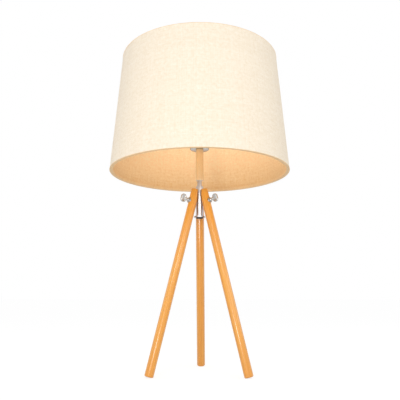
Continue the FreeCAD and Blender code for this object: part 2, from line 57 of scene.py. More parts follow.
GRAIN = "grain"                 # point attribute: a wooden piece's own place, with Z along its grain
WEAVE = "weave"                 # UV map in metres: round the shade, and up it
Z_AXIS = Vector((0.0, 0.0, 1.0))

Colour = tuple[float, float, float, float]
Corner = tuple[float, ...]


class Slot(Enum):
    """Material slots of the record."""

    TURNED_WOOD = "turned_wood"
    LEG_WOOD = "leg_wood"
    PALE_WOOD = "pale_wood"
    STEEL = "steel"
    NICKEL = "nickel"
    BLACK_PLASTIC = "black_plastic"
    HOLDER_PLASTIC = "holder_plastic"
    WHITE_CERAMIC = "white_ceramic"
    BRASS = "brass"
    OPAL_GLASS = "opal_glass"
    BULB_NICKEL = "bulb_nickel"
    BLACK_GLASS = "black_glass"
    SOLDER = "solder"
    LINEN = "linen"
    LINER_FILM = "liner_film"
    PAINTED_WIRE = "painted_wire"
    LINEN_TAPE = "linen_tape"


class Body(Enum):
    """Bodies of the frame that aren't one of a set of three."""

    BASE = "base"
    BULB = "bulb"
    SHADE = "shade"
    RING_NUT = "shade_ring_nut"


class ShadeEnd(Enum):
    """Ends of the shade, with the direction that leads into it."""

    TOP = -1
    BOTTOM = 1


def srgb(red: float, green: float, blue: float) -> Colour:
    """Scene-linear colour of a display colour.

    Args:
        red: Display red, 0 to 255.
        green: Display green, 0 to 255.
        blue: Display blue, 0 to 255.

    Returns:
        Linear red, green, blue and an alpha of 1.
    """
    linear = []
    for value in (red, green, blue):
        share = value / 255
        linear.append(share / 12.92 if share <= 0.04045 else ((share + 0.055) / 1.055) ** 2.4)
    return (linear[0], linear[1], linear[2], 1.0)


# ------------------------------------------------------------------ materials
class Graph:
    """Node tree of one material, filled through short methods."""

    def __init__(self, name: str) -> None:
        """Start an empty node tree.

        Args:
            name: Name of the material.
        """
        self.material = bpy.data.materials.new(name)
        self.material.use_nodes = True
        self.tree = self.material.node_tree
        self.tree.nodes.clear()

    def add(self, kind: str, inputs: dict | None = None, **settings: object) -> bpy.types.Node:
        """Add a shader node.

        Args:
            kind: Type of the node, without its ShaderNode prefix.
            inputs: Value, or socket to link, for each named or numbered input.
            settings: Properties of the node itself.

        Returns:
            The new node.
        """
        node = self.tree.nodes.new("ShaderNode" + kind)
        for key, value in settings.items():
            setattr(node, key, value)
        for key, value in (inputs or {}).items():
            if isinstance(value, bpy.types.NodeSocket):
                self.tree.links.new(value, node.inputs[key])
            else:
                node.inputs[key].default_value = value
        return node

    def place(self) -> bpy.types.NodeSocket:
        """Place in the object's own frame, in metres."""
        return self.add("TexCoord").outputs["Object"]

    def stretch(self, vector: bpy.types.NodeSocket, scale: Sequence[float],
                shift: Sequence[float] = (0, 0, 0)) -> bpy.types.NodeSocket:
        """Scale a vector by axis, then shift it."""
        inputs = {"Vector": vector, "Scale": scale, "Location": shift}
        return self.add("Mapping", inputs).outputs["Vector"]

    def noise(self, vector: bpy.types.NodeSocket, scale: float, detail: float = 2.0,
              roughness: float = 0.5) -> bpy.types.NodeSocket:
        """Smooth noise about one half, with features 1 / scale metres wide."""
        inputs = {"Vector": vector, "Scale": scale, "Detail": detail, "Roughness": roughness}
        return self.add("TexNoise", inputs).outputs["Fac"]

    def maths(self, operation: str, first: object, second: object = 0.0) -> bpy.types.NodeSocket:
        """Result of one arithmetic step."""
        return self.add("Math", {0: first, 1: second}, operation=operation).outputs[0]

    def remap(self, value: bpy.types.NodeSocket, low: float, high: float,
              to_low: float = 0.0, to_high: float = 1.0) -> bpy.types.NodeSocket:
        """Value taken linearly from one range to another, and held at its ends."""
        inputs = {"Value": value, "From Min": low, "From Max": high, "To Min": to_low, "To Max": to_high}
        return self.add("MapRange", inputs).outputs["Result"]

    def mix(self, share: object, first: object, second: object) -> bpy.types.NodeSocket:
        """Colour between two colours."""
        inputs = {0: share, 6: first, 7: second}
        return self.add("Mix", inputs, data_type="RGBA").outputs[2]

    def bump(self, height: bpy.types.NodeSocket, depth: float,
             under: bpy.types.NodeSocket | None = None) -> bpy.types.NodeSocket:
        """Normal of a relief that is depth metres deep, laid over another normal."""
        inputs: dict = {"Height": height, "Distance": depth, "Strength": 1.0}
        if under is not None:
            inputs["Normal"] = under
        return self.add("Bump", inputs).outputs["Normal"]

    def finish(self, **inputs: object) -> bpy.types.Material:
        """Close the tree with a Principled shader.

        Args:
            inputs: Value or socket for each of its inputs, with spaces written as underscores.

        Returns:
            The finished material.
        """
        named = {key.replace("_", " "): value for key, value in inputs.items()}
        shader = self.add("BsdfPrincipled", named)
        self.add("OutputMaterial", {"Surface": shader.outputs["BSDF"]})
        return self.material


class Finish(Protocol):
    """Anything that can make the material of a slot."""

    def material(self) -> bpy.types.Material:
        """The finished material."""


@dataclass(frozen=True)
class WoodFinish:
    """Straight-grained wood, stained and lacquered, with its grain along Z of its attribute."""

    name: str
    pale: Colour
    dark: Colour
    ring_gap: float = 2.4 * MM
    pith: tuple[float, float] = (0.024, 0.015)
    lacquer: float = 0.8
    stain_and_shade: Colour | None = None         # deeper stain and painted shade that the colour goes over to, up the grain: the hub's head is darkened partly as the lampshade's shadow on it
    stain_and_shade_from: float = 0.0
    stain_and_shade_to: float = 1.0

    def material(self) -> bpy.types.Material:
        """Growth rings, fibres, short dark rays and a satin lacquer."""
        graph = Graph(self.name)
        own = graph.add("Attribute", attribute_name=GRAIN).outputs["Vector"]
        from_pith = graph.stretch(own, (1.0, 1.0, 0.06), (*self.pith, 0.0))
        rings = graph.add(
            "TexWave",
            {"Vector": from_pith, "Scale": math.tau / 20 / self.ring_gap, "Distortion": 2.2,
             "Detail": 2.0, "Detail Scale": 1.4},
            wave_type="RINGS", rings_direction="Z", wave_profile="SAW",
        ).outputs["Fac"]
        fibre = graph.noise(graph.stretch(own, (1500, 1500, 30)), 1.0, 4.0, 0.6)
        patch = graph.noise(graph.stretch(own, (60, 60, 9)), 1.0, 2.0)
        ray = graph.remap(graph.noise(graph.stretch(own, (1700, 1700, 330)), 1.0, 1.0), 0.64, 0.74)
        grain = graph.maths("ADD", graph.maths("MULTIPLY", rings, 0.34),
                            graph.maths("MULTIPLY", fibre, 0.55))
        grain = graph.maths("ADD", grain, graph.maths("MULTIPLY", patch, 0.5))
        colour = graph.mix(graph.remap(grain, 0.3, 1.05), self.pale, self.dark)
        # Darker up the grain towards the hub's head: partly a real stain, partly painted shade where the lampshade
        # above shadows the top of the hub.
        if self.stain_and_shade:
            height = graph.add("SeparateXYZ", {0: own}).outputs["Z"]
            uneven = graph.maths("ADD", height, graph.maths("MULTIPLY", patch, 0.012))
            share = graph.remap(uneven, self.stain_and_shade_from, self.stain_and_shade_to)
            colour = graph.mix(share, colour, graph.mix(0.28, self.stain_and_shade, colour))
        deep = tuple(0.55 * part for part in self.dark[:3]) + (1.0,)
        colour = graph.mix(graph.maths("MULTIPLY", ray, 0.45), colour, deep)
        relief = graph.maths("SUBTRACT", fibre, graph.maths("MULTIPLY", ray, 0.5))
        return graph.finish(
            Base_Color=colour,
            Roughness=graph.remap(fibre, 0.3, 0.7, 0.34, 0.46),
            Normal=graph.bump(relief, 0.035 * MM),
            Coat_Weight=self.lacquer,
            Coat_Roughness=0.18,
        )


@dataclass(frozen=True)
class MetalFinish:
    """Plated or plain metal with fine scratches and slightly uneven gloss."""

    name: str
    tint: Colour
    roughness: float = 0.2
    scratches: float = 0.006 * MM

    def material(self) -> bpy.types.Material:
        """Cloudy roughness over scratches that run in two directions."""
        graph = Graph(self.name)
        own = graph.place()
        cloud = graph.noise(own, 260, 3.0)
        first = graph.noise(graph.stretch(own, (5200, 400, 900)), 1.0, 2.0)
        second = graph.noise(graph.stretch(own, (500, 4600, 1400), (0.4, 0.1, 0.7)), 1.0, 2.0)
        relief = graph.maths("ADD", first, second)
        worn = graph.remap(cloud, 0.3, 0.7, 0.0, 0.22)
        shade = tuple(0.8 * part for part in self.tint[:3]) + (1.0,)
        return graph.finish(
            Base_Color=graph.mix(worn, self.tint, shade),
            Metallic=1.0,
            Roughness=graph.remap(cloud, 0.3, 0.7, self.roughness * 0.8, self.roughness * 1.35),
            Normal=graph.bump(relief, self.scratches),
        )


@dataclass(frozen=True)
class WeaveFinish:
    """Plain-weave linen of uneven threads, with the lamp's light through it painted on as an emitted glow."""

    name: str
    pale: Colour
    dark: Colour
    painted_glow: Colour
    painted_glow_low: float                 # strength of the painted glow at the lower edge of the shade
    painted_glow_high: float                # and a third of the way up it
    pitch: float = 0.62 * MM
    relief: float = 0.11 * MM
    film: float = 0.0               # clear film over the weave, as a share of coat
    painted_glow_beside_bulb: float = 1.0         # share of the painted glow that is left beside the bulb

    def material(self) -> bpy.types.Material:
        """Threads that pass over and under each other, each with its own tone and slubs."""
        graph = Graph(self.name)
        parts = graph.add("SeparateXYZ", {0: graph.add("UVMap", uv_map=WEAVE).outputs["UV"]}).outputs
        warp = graph.maths("DIVIDE", parts["X"], self.pitch)
        weft = graph.maths("DIVIDE", parts["Y"], self.pitch)
        warp_row = graph.maths("FLOOR", warp)
        weft_row = graph.maths("FLOOR", weft)
        weft_over = graph.maths("MODULO", graph.maths("ADD", warp_row, weft_row), 2.0)
        weft_over = graph.maths("ABSOLUTE", weft_over)
        tones = []
        bulges = []
        for row, across, along, seed in ((warp_row, warp, parts["Y"], 3.7), (weft_row, weft, parts["X"], 11.3)):
            run = graph.maths("MULTIPLY", along, 85.0)
            spot = graph.add("CombineXYZ", {0: graph.maths("MULTIPLY", row, 7.31), 1: run, 2: seed}).outputs[0]
            slub = graph.noise(spot, 1.0, 2.0, 0.6)
            own = graph.add("TexWhiteNoise", {"W": graph.maths("ADD", row, seed)},
                            noise_dimensions="1D").outputs["Value"]
            tones.append(graph.maths("ADD", graph.maths("MULTIPLY", slub, 1.3),
                                     graph.maths("MULTIPLY", own, 0.35)))
            wave = graph.maths("SINE", graph.maths("MULTIPLY", across, math.pi))
            bulges.append(graph.maths("ABSOLUTE", wave))
        blend = {"Factor": weft_over, "A": tones[0], "B": tones[1]}
        tone = graph.add("Mix", blend).outputs[0]
        height = graph.add("Mix", {"Factor": weft_over, "A": bulges[0], "B": bulges[1]}).outputs[0]
        flat = graph.add("UVMap", uv_map=WEAVE).outputs["UV"]
        cloud = graph.noise(flat, 210.0, 3.0, 0.6)
        tone = graph.maths("ADD", tone, graph.maths("MULTIPLY", cloud, 1.3))
        colour = graph.mix(graph.remap(tone, 1.0, 2.1), self.dark, self.pale)
        # Painted shade: the hollows between the threads are darkened towards a shaded copy of the thread colour.
        gap = graph.remap(height, 0.0, 0.45, 0.32, 0.0)
        hollow = tuple(0.7 * part for part in self.dark[:3]) + (1.0,)
        colour = graph.mix(gap, colour, hollow)
        # Painted light: the bulb's light through the shade is given as emission, rising up the shade and, on the
        # liner, weaker beside the bulb.
        above = graph.add("SeparateXYZ", {0: graph.place()}).outputs["Z"]
        rise = graph.remap(above, 0.33, 0.41, self.painted_glow_low, self.painted_glow_high)
        fall = graph.remap(above, 0.43, 0.475, 1.0, self.painted_glow_beside_bulb)
        return graph.finish(
            Base_Color=colour,
            Roughness=0.82,
            Normal=graph.bump(graph.maths("ADD", height, graph.maths("MULTIPLY", tone, 0.6)), self.relief),
            Sheen_Weight=0.12,
            Sheen_Roughness=0.5,
            Coat_Weight=self.film,
            Coat_Roughness=0.35,
            Emission_Color=graph.mix(0.3, self.painted_glow, colour),
            Emission_Strength=graph.maths("MULTIPLY", rise, fall),
        )


@dataclass(frozen=True)
class MouldedFinish:
    """Plastic, ceramic or enamel: one colour with faint clouds and a fine skin."""

    name: str
    colour: Colour
    roughness: float
    skin: float = 0.012 * MM
    skin_scale: float = 2600.0
    gloss: float = 0.0

    def material(self) -> bpy.types.Material:
        """Faintly clouded colour over a fine orange-peel skin."""
        graph = Graph(self.name)
        own = graph.place()
        cloud = graph.noise(own, 120, 3.0)
        shade = tuple(0.86 * part for part in self.colour[:3]) + (1.0,)
        return graph.finish(
            Base_Color=graph.mix(graph.remap(cloud, 0.35, 0.7, 0.0, 0.5), self.colour, shade),
            Roughness=graph.remap(cloud, 0.3, 0.7, self.roughness * 0.88, self.roughness * 1.14),
            Normal=graph.bump(graph.noise(own, self.skin_scale, 2.0), self.skin),
            Coat_Weight=self.gloss,
            Coat_Roughness=0.1,
        )


@dataclass(frozen=True)
class OpalFinish:
    """Opal bulb glass, lit from inside and paler towards its crown."""

    name: str
    colour: Colour
    light: Colour
    strength: float
    neck_z: float
    crown_z: float

    def material(self) -> bpy.types.Material:
        """Glow that fades into the neck under a glossy skin."""
        graph = Graph(self.name)
        own = graph.place()
        height = graph.add("SeparateXYZ", {0: own}).outputs["Z"]
        fade = graph.remap(height, self.neck_z, self.crown_z, 0.35, 1.0)
        mottle = graph.remap(graph.noise(own, 180, 3.0), 0.3, 0.7, 0.94, 1.04)
        return graph.finish(
            Base_Color=self.colour,
            Roughness=0.18,
            Coat_Weight=0.5,
            Coat_Roughness=0.05,
            Emission_Color=self.light,
            Emission_Strength=graph.maths("MULTIPLY", graph.maths("MULTIPLY", fade, mottle), self.strength),
        )


# ------------------------------------------------------------------ shaping
class Form:
    """One mesh in the making, in metres, with the shaping tools that the lamp's makers share."""

    def __init__(self) -> None:
        """Start an empty form."""
        self.bm = bmesh.new()
        self.grain_frame = Matrix.Identity(4)

    @classmethod
    def turned(cls, *corners: Corner, segments: int = 96) -> "Form":
        """Closed outline turned about Z.

        Args:
            corners: Radius and height of each corner in order, and the radius of its rounding.
            segments: Steps round the axis.

        Returns:
            The turned form, with its outline closed from the last corner to the first.
        """
        form = cls()
        points = [form.bm.verts.new((corner[0], 0.0, corner[1])) for corner in corners]
        for here, there in zip(points, points[1:] + points[:1]):
            if here.co.x > 0 or there.co.x > 0:
                form.bm.edges.new((here, there))
        bmesh.ops.spin(
            form.bm, geom=form.bm.verts[:] + form.bm.edges[:], cent=(0, 0, 0), axis=Z_AXIS,
            angle=math.tau, steps=segments, use_merge=True,
        )
        form.tidy()
        for corner in corners:
            if len(corner) == 3:
                form.round_rim(corner[0], corner[1], corner[2])
        return form

    @classmethod
    def rod(cls, radius: float, start: float, end: float, segments: int = 64) -> "Form":
        """Plain round bar on Z, as a tool or a blank."""
        form = cls()
        middle = Matrix.Translation((0, 0, (start + end) / 2))
        bmesh.ops.create_cone(
            form.bm, cap_ends=True, segments=segments, radius1=radius, radius2=radius,
            depth=end - start, matrix=middle,
        )
        return form

    @classmethod
    def thread(cls, root: float, crest: float, pitch: float, start: float, end: float,
               steps: int = 40) -> "Form":
        """Right-hand ridge of a screw thread on Z.

        Args:
            root: Radius that the ridge grows from.
            crest: Radius of its top.
            pitch: Rise of one turn.
            start: Height where it begins.
            end: Height where it ends.
            steps: Steps in one turn.

        Returns:
            The ridge, its inner face sunk a little below its root.
        """
        form = cls()
        sunk = root - 0.3 * (crest - root)
        section = ((sunk, -0.46), (root, -0.4), (crest, -0.12), (crest, 0.12), (root, 0.4), (sunk, 0.46))
        points = [form.bm.verts.new((radius, 0.0, start + share * pitch)) for radius, share in section]
        for here, there in zip(points, points[1:] + points[:1]):
            form.bm.edges.new((here, there))
        turns = (end - start) / pitch
        bmesh.ops.spin(
            form.bm, geom=form.bm.verts[:] + form.bm.edges[:], cent=(0, 0, 0), axis=Z_AXIS,
            dvec=(0, 0, pitch / steps), angle=turns * math.tau, steps=round(turns * steps),
        )
        bmesh.ops.holes_fill(form.bm, edges=form.bm.edges[:], sides=len(section))
        form.tidy()
        return form

    @classmethod
    def from_node(cls, node: str) -> "Form":
        """Merged copy of a node of the frame."""
        form = cls()
        form.bm.from_mesh(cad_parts[node].data)
        form.tidy()
        return form

    def tidy(self) -> None:
        """Merge what coincides and turn every face outwards."""
        bmesh.ops.remove_doubles(self.bm, verts=self.bm.verts[:], dist=0.002 * MM)
        bmesh.ops.dissolve_degenerate(self.bm, edges=self.bm.edges[:], dist=0.001 * MM)
        bmesh.ops.recalc_face_normals(self.bm, faces=self.bm.faces[:])

    def soften(self, edges: Iterable[bmesh.types.BMEdge], radius: float, segments: int = 3) -> None:
        """Round off some edges.

        Args:
            edges: Edges to round.
            radius: Distance from each edge to where its rounding starts.
            segments: Faces across the rounding.
        """
        bmesh.ops.bevel(
            self.bm, geom=list(edges), offset=radius, offset_type="OFFSET", segments=segments,
            profile=0.5, affect="EDGES", material=-1, clamp_overlap=False,
        )

    def round_rim(self, radius: float, height: float, rounding: float) -> None:
        """Round the circular edge at one radius and height."""
        def on_rim(vert: bmesh.types.BMVert) -> bool:
            """Whether a vertex lies on the circle."""
            near = 0.001 * MM
            return abs(vert.co.xy.length - radius) < near and abs(vert.co.z - height) < near

        rim = [edge for edge in self.bm.edges if all(on_rim(vert) for vert in edge.verts)]
        self.soften(rim, rounding, 4)

    def slice_off(self, point: Sequence[float], outwards: Sequence[float]) -> None:
        """Cut off what lies beyond a plane and close the cut.

        Args:
            point: A point of the plane.
            outwards: Direction that points away from what stays.
        """
        geometry = self.bm.verts[:] + self.bm.edges[:] + self.bm.faces[:]
        made = bmesh.ops.bisect_plane(
            self.bm, geom=geometry, plane_co=point, plane_no=outwards, clear_outer=True,
            dist=0.001 * MM,
        )
        rim = [item for item in made["geom_cut"] if isinstance(item, bmesh.types.BMEdge)]
        bmesh.ops.holes_fill(self.bm, edges=rim, sides=0)

    def move(self, matrix: Matrix) -> "Form":
        """Place the form, and return it."""
        self.bm.transform(matrix)
        return self

    def add(self, other: "Form") -> None:
        """Take over another form's faces as they are."""
        spare = bpy.data.meshes.new("spare")
        other.bm.to_mesh(spare)
        self.bm.from_mesh(spare)
        bpy.data.meshes.remove(spare)

    def cut(self, *tools: "Form") -> None:
        """Take the space of other forms out of this one."""
        for tool in tools:
            self._combine(tool, "DIFFERENCE")

    def fuse(self, *others: "Form") -> None:
        """Grow together with other forms into one closed skin."""
        for other in others:
            self._combine(other, "UNION")

    def _combine(self, other: "Form", operation: str) -> None:
        """Carry out one exact Boolean operation on the mesh."""
        helpers = []
        for form in (self, other):
            mesh = bpy.data.meshes.new("helper")
            form.bm.to_mesh(mesh)
            helper = bpy.data.objects.new("helper", mesh)
            bpy.context.scene.collection.objects.link(helper)
            helpers.append(helper)
        step = helpers[0].modifiers.new("step", "BOOLEAN")
        step.operation = operation
        step.solver = "EXACT"
        step.object = helpers[1]
        graph = bpy.context.evaluated_depsgraph_get()
        result = bpy.data.meshes.new_from_object(helpers[0].evaluated_get(graph))
        self.bm.clear()
        self.bm.from_mesh(result)
        bpy.data.meshes.remove(result)
        for helper in helpers:
            mesh = helper.data
            bpy.data.objects.remove(helper)
            bpy.data.meshes.remove(mesh)

    def sharp_edges(self, angle: float) -> list[bmesh.types.BMEdge]:
        """Edges whose faces turn by more than an angle in degrees."""
        limit = math.radians(angle)
        return [edge for edge in self.bm.edges if edge.calc_face_angle(0.0) > limit]

    def wrap_weave(self) -> None:
        """Lay the weave round the axis: metres round it, then metres up or in."""
        layer = self.bm.loops.layers.uv.new(WEAVE)
        for face in self.bm.faces:
            centre = face.calc_center_median()
            ahead = math.atan2(centre.y, centre.x)
            for loop in face.loops:
                spot = loop.vert.co
                turn = math.atan2(spot.y, spot.x) - ahead
                turn = (turn + math.pi) % math.tau - math.pi
                loop[layer].uv = ((ahead + turn) * centre.xy.length, spot.z - spot.xy.length)


class Workshop:
    """Turns forms into named pieces, dresses them and hangs them on their bodies."""

    def __init__(self, finishes: dict[Slot, Finish]) -> None:
        """Make every material once.

        Args:
            finishes: The finish of each material slot.
        """
        self.materials = {slot: finish.material() for slot, finish in finishes.items()}
        self.made = 0

    def publish(self, name: str, form: Form, slot: Slot, body: str, stands_for: Sequence[str] = (),
                crease: float = 32.0) -> bpy.types.Object:
        """Turn a form into a piece of the lamp.

        Args:
            name: Name of the piece.
            form: Its shape, in place.
            slot: Material slot that it takes its finish from.
            body: Body that it moves with.
            stands_for: Nodes of the frame that it replaces.
            crease: Edges that turn by more than this many degrees stay sharp.

        Returns:
            The piece.
        """
        mesh = bpy.data.meshes.new(name)
        form.bm.to_mesh(mesh)
        mesh.shade_smooth()
        mesh.set_sharp_from_angle(angle=math.radians(crease))
        to_grain = form.grain_frame.inverted()
        spots = [part for vert in mesh.vertices for part in to_grain @ vert.co]
        mesh.attributes.new(GRAIN, "FLOAT_VECTOR", "POINT").data.foreach_set("vector", spots)
        mesh.materials.append(self.materials[slot])
        form.bm.free()
        piece = bpy.data.objects.new(name, mesh)
        bpy.context.scene.collection.objects.link(piece)
        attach(piece, body)
        if stands_for:
            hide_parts(*stands_for)
        self.made += 1
        LOG.info("%s: %d faces on %s", name, len(mesh.polygons), body)
        return piece

    def dress(self, slot: Slot, *nodes: str) -> None:
        """Give nodes that keep their own shape a finish.

        Args:
            slot: Material slot of the nodes.
            nodes: Names of the nodes.
        """
        for node in nodes:
            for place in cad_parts[node].material_slots:
                place.material = self.materials[slot]
            LOG.info("%s: dressed as it is", node)


@dataclass(frozen=True)
class Extent:
    """Box of one node of the frame, read as a piece turned about the lamp's axis."""

    radius: float
    bottom: float
    top: float

    @classmethod
    def of(cls, node: str) -> "Extent":
        """Extent of a node at rest."""
        low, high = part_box(node)
        return cls((high.x - low.x) / 2, low.z, high.z)


# ------------------------------------------------------------------ legs, hub and screws
@dataclass(frozen=True)
class LegPlace:
    """Where one leg stands, and the frames of its own axis and of its screw."""

    name: str
    azimuth: float
    splay: float = 15.0
    foot_circle: float = 86.0 * MM      # lamp axis to the leg's axis, on the table
    screw_height: float = 272.8 * MM

    @property
    def axis_radius(self) -> float:
        """Lamp axis to the leg's axis, where its screw crosses it."""
        return self.foot_circle - self.screw_height * math.tan(math.radians(self.splay))

    def along_leg(self) -> Matrix:
        """Frame with Z up the leg's axis and X outwards, from where the axis meets the table."""
        turn = Matrix.Rotation(math.radians(self.azimuth), 4, "Z")
        out = Matrix.Translation((self.foot_circle, 0, 0))
        return turn @ out @ Matrix.Rotation(-math.radians(self.splay), 4, "Y")

    def along_screw(self) -> Matrix:
        """Frame with Z outwards along the screw's axis and X down the leg."""
        up_leg = self.screw_height / math.cos(math.radians(self.splay))
        turn = Matrix.Rotation(math.radians(90), 4, "Y")
        return self.along_leg() @ Matrix.Translation((0, 0, up_leg)) @ turn


@dataclass
class Legs:
    """Three dowel legs with flat cheeks at the top and level facets at the feet."""

    shop: Workshop
    places: Sequence[LegPlace]
    diameter: float = 14.0 * MM
    end_height: float = 293.0 * MM
    foot_start: float = 0.95 * MM       # along the axis, from the table to the square-cut end
    foot_round: float = 2.2 * MM
    top_round: float = 0.8 * MM
    cheek: float = 7.5 * MM             # lamp axis to the flat that the leg seats on
    hole_diameter: float = 4.5 * MM
    edge_round: float = 0.3 * MM

    def build(self) -> None:
        """Make and dress the three legs."""
        for place in self.places:
            name = "leg_" + place.name
            form = self._shape(place)
            self.shop.publish(name, form, Slot.LEG_WOOD, Body.BASE.value, [name])

    def _shape(self, place: LegPlace) -> Form:
        """One leg, in place."""
        end = self.end_height / math.cos(math.radians(place.splay))
        radius = self.diameter / 2
        form = Form.turned(
            (0.0, self.foot_start),
            (radius, self.foot_start, self.foot_round),
            (radius, end, self.top_round),
            (0.0, end),
            segments=112,
        )
        form.move(place.along_leg())
        inwards = Matrix.Rotation(math.radians(place.azimuth), 3, "Z") @ Vector((-1.0, 0.0, 0.0))
        form.slice_off(-inwards * self.cheek, inwards)
        form.slice_off((0, 0, 0), (0, 0, -1))
        drill = Form.rod(self.hole_diameter / 2, -self.diameter, self.diameter, 32)
        form.cut(drill.move(place.along_screw()))
        form.grain_frame = place.along_leg() @ Matrix.Rotation(math.radians(place.azimuth * 2.3), 4, "Z")
        return form


@dataclass
class Hub:
    """Turned hub with three slanted grooves, its steel core, the cord bush and the post."""

    shop: Workshop
    places: Sequence[LegPlace]
    leg_diameter: float = 14.0 * MM
    groove_clearance: float = 0.15 * MM
    groove_end: float = 293.3 * MM
    cheek: float = 7.5 * MM
    top_diameter: float = 25.0 * MM
    edge_round: float = 1.0 * MM
    groove_round: float = 0.35 * MM
    core_clearance: float = 0.05 * MM
    tube_clearance: float = 0.15 * MM
    screw_hole: float = 4.5 * MM
    post_round: float = 0.5 * MM
    bush_lip: float = 0.7 * MM

    def build(self) -> None:
        """Make the turned pieces, and dress the steel ones as they are."""
        self.shop.publish("hub", self._block(), Slot.TURNED_WOOD, Body.BASE.value, ["hub"])
        self.shop.publish("post", self._post(), Slot.PALE_WOOD, Body.BASE.value, ["post"])
        self.shop.publish("cord_bush", self._bush(), Slot.BLACK_PLASTIC, Body.BASE.value, ["cord_bush"])
        self.shop.dress(Slot.STEEL, "hub_core", "stem_tube")

    def _block(self) -> Form:
        """The hub: a flared block with its grooves and bores."""
        block = Extent.of("hub")
        core = Extent.of("hub_core")
        tube = Extent.of("stem_tube")
        form = Form.turned(
            (0.0, block.bottom),
            (block.radius, block.bottom, self.edge_round),
            (self.top_diameter / 2, block.top, self.edge_round),
            (0.0, block.top),
            segments=128,
        )
        for place in self.places:
            form.cut(self._groove(place))
            drill = Form.rod(self.screw_hole / 2, -2 * self.cheek, self.leg_diameter / 2, 32)
            form.cut(drill.move(place.along_screw()))
        form.cut(Form.rod(tube.radius + self.tube_clearance, block.bottom - MM, block.top + MM))
        form.cut(Form.rod(self.cheek - 1.45 * MM, block.bottom - MM, core.top))
        form.cut(Form.rod(core.radius + self.core_clearance, block.bottom - MM, block.bottom + 2 * MM))
        form.tidy()
        return form

    def _groove(self, place: LegPlace) -> Form:
        """Half-round way of one leg, with a flat bottom."""
        end = self.groove_end / math.cos(math.radians(place.splay))
        way = Form.rod(self.leg_diameter / 2 + self.groove_clearance, end - 90 * MM, end, 96)
        way.move(place.along_leg())
        inwards = Matrix.Rotation(math.radians(place.azimuth), 3, "Z") @ Vector((-1.0, 0.0, 0.0))
        way.slice_off(-inwards * self.cheek, inwards)
        return way

    def _post(self) -> Form:
        """The post, bored for the tube."""
        dowel = Extent.of("post")
        bore = Extent.of("stem_tube").radius + self.tube_clearance
        return Form.turned(
            (bore, dowel.bottom),
            (dowel.radius, dowel.bottom, self.post_round),
            (dowel.radius, dowel.top, self.post_round),
            (bore, dowel.top),
        )

    def _bush(self) -> Form:
        """The bush, with its rounded flange under the hub."""
        bush = Extent.of("cord_bush")
        hole = 3.0 * MM
        body = 4.5 * MM
        under = Extent.of("hub").bottom
        return Form.turned(
            (hole, bush.bottom, self.bush_lip),
            (bush.radius, bush.bottom, self.bush_lip),
            (bush.radius, under),
            (body, under),
            (body, bush.top, 0.3 * MM),
            (hole, bush.top, 0.3 * MM),
        )


@dataclass
class WingScrews:
    """Wing screws that clamp the legs, each with its saddle washer."""

    shop: Workshop
    places: Sequence[LegPlace]
    saddle_outer: float = 8.3 * MM      # leg axis to the washer's outer face
    core_gap: float = 3.9 * MM          # lamp axis to the screw's tip
    thread_diameter: float = 3.9 * MM
    thread_root: float = 3.3 * MM
    pitch: float = 0.7 * MM
    shoulder_diameter: float = 7.0 * MM
    shoulder: float = 1.0 * MM
    neck_diameter: float = 5.4 * MM
    neck: float = 3.6 * MM
    wing_width: float = 14.0 * MM
    wing_length: float = 9.6 * MM
    wing_thickness: float = 2.4 * MM
    corner: float = 4.4 * MM
    edge_round: float = 0.7 * MM
    dish_border: float = 1.3 * MM
    dish_depth: float = 0.25 * MM

    def build(self) -> None:
        """Make the three screws and their washers."""
        for place in self.places:
            washer = Form.from_node("saddle_washer_" + place.name)
            name = "saddle_washer_" + place.name
            self.shop.publish(name, washer, Slot.NICKEL, "saddle_" + place.name, [name])
            name = "wing_screw_" + place.name
            screw = self._screw(place).move(place.along_screw())
            self.shop.publish(name, screw, Slot.NICKEL, "wing_" + place.name, [name])

    def _screw(self, place: LegPlace) -> Form:
        """One screw on Z, its tip below."""
        tip = (self.core_gap - place.axis_radius) / math.cos(math.radians(place.splay))
        face = self.saddle_outer
        wing_start = face + self.shoulder + self.neck
        root = self.thread_root / 2
        form = Form.turned(
            (0.0, tip),
            (root - 0.35 * MM, tip),
            (root, tip + 0.35 * MM),
            (root, face - 0.6 * MM),
            (self.thread_diameter / 2, face - 0.4 * MM),
            (self.thread_diameter / 2, face),
            (self.shoulder_diameter / 2, face, 0.15 * MM),
            (self.shoulder_diameter / 2, face + self.shoulder, 0.25 * MM),
            (self.neck_diameter / 2 + 0.1 * MM, face + self.shoulder, 0.1 * MM),
            (self.neck_diameter / 2 - 0.25 * MM, face + self.shoulder + 1.2 * MM, 0.4 * MM),
            (self.neck_diameter / 2 - 0.1 * MM, wing_start),
            (self.neck_diameter / 2 - 0.5 * MM, wing_start + 1.6 * MM, 0.5 * MM),
            (0.9 * MM, wing_start + 3.4 * MM, 0.5 * MM),
            (0.0, wing_start + 3.8 * MM),
            segments=48,
        )
        form.fuse(self._wing(wing_start))
        ridge = Form.thread(root, self.thread_diameter / 2, self.pitch, tip + 0.6 * MM, face - 0.9 * MM, 24)
        form.add(ridge)
        return form

    def _wing(self, start: float) -> Form:
        """Flat wing with rounded corners and a shallow dish in each face."""
        form = Form()
        size = Matrix.Diagonal((self.wing_width, self.wing_thickness, self.wing_length, 1.0))
        middle = Matrix.Translation((0, 0, start + self.wing_length / 2))
        bmesh.ops.create_cube(form.bm, size=1.0, matrix=middle @ size)
        corners = [edge for edge in form.bm.edges if abs(edge.verts[0].co.y - edge.verts[1].co.y) > MM]
        form.soften(corners, self.corner, 12)
        faces = [face for face in form.bm.faces if abs(face.normal.y) > 0.9]
        bmesh.ops.inset_individual(form.bm, faces=faces, thickness=self.dish_border, depth=0.0)
        bmesh.ops.inset_individual(form.bm, faces=faces, thickness=0.9 * MM, depth=-self.dish_depth)
        form.bm.normal_update()
        rim = [
            edge for edge in form.bm.edges
            if edge.calc_face_angle(0.0) > 1.0 and all(abs(abs(v.co.y) - self.wing_thickness / 2) < 1e-6 for v in edge.verts)
        ]
        form.soften(rim, self.edge_round, 4)
        return form


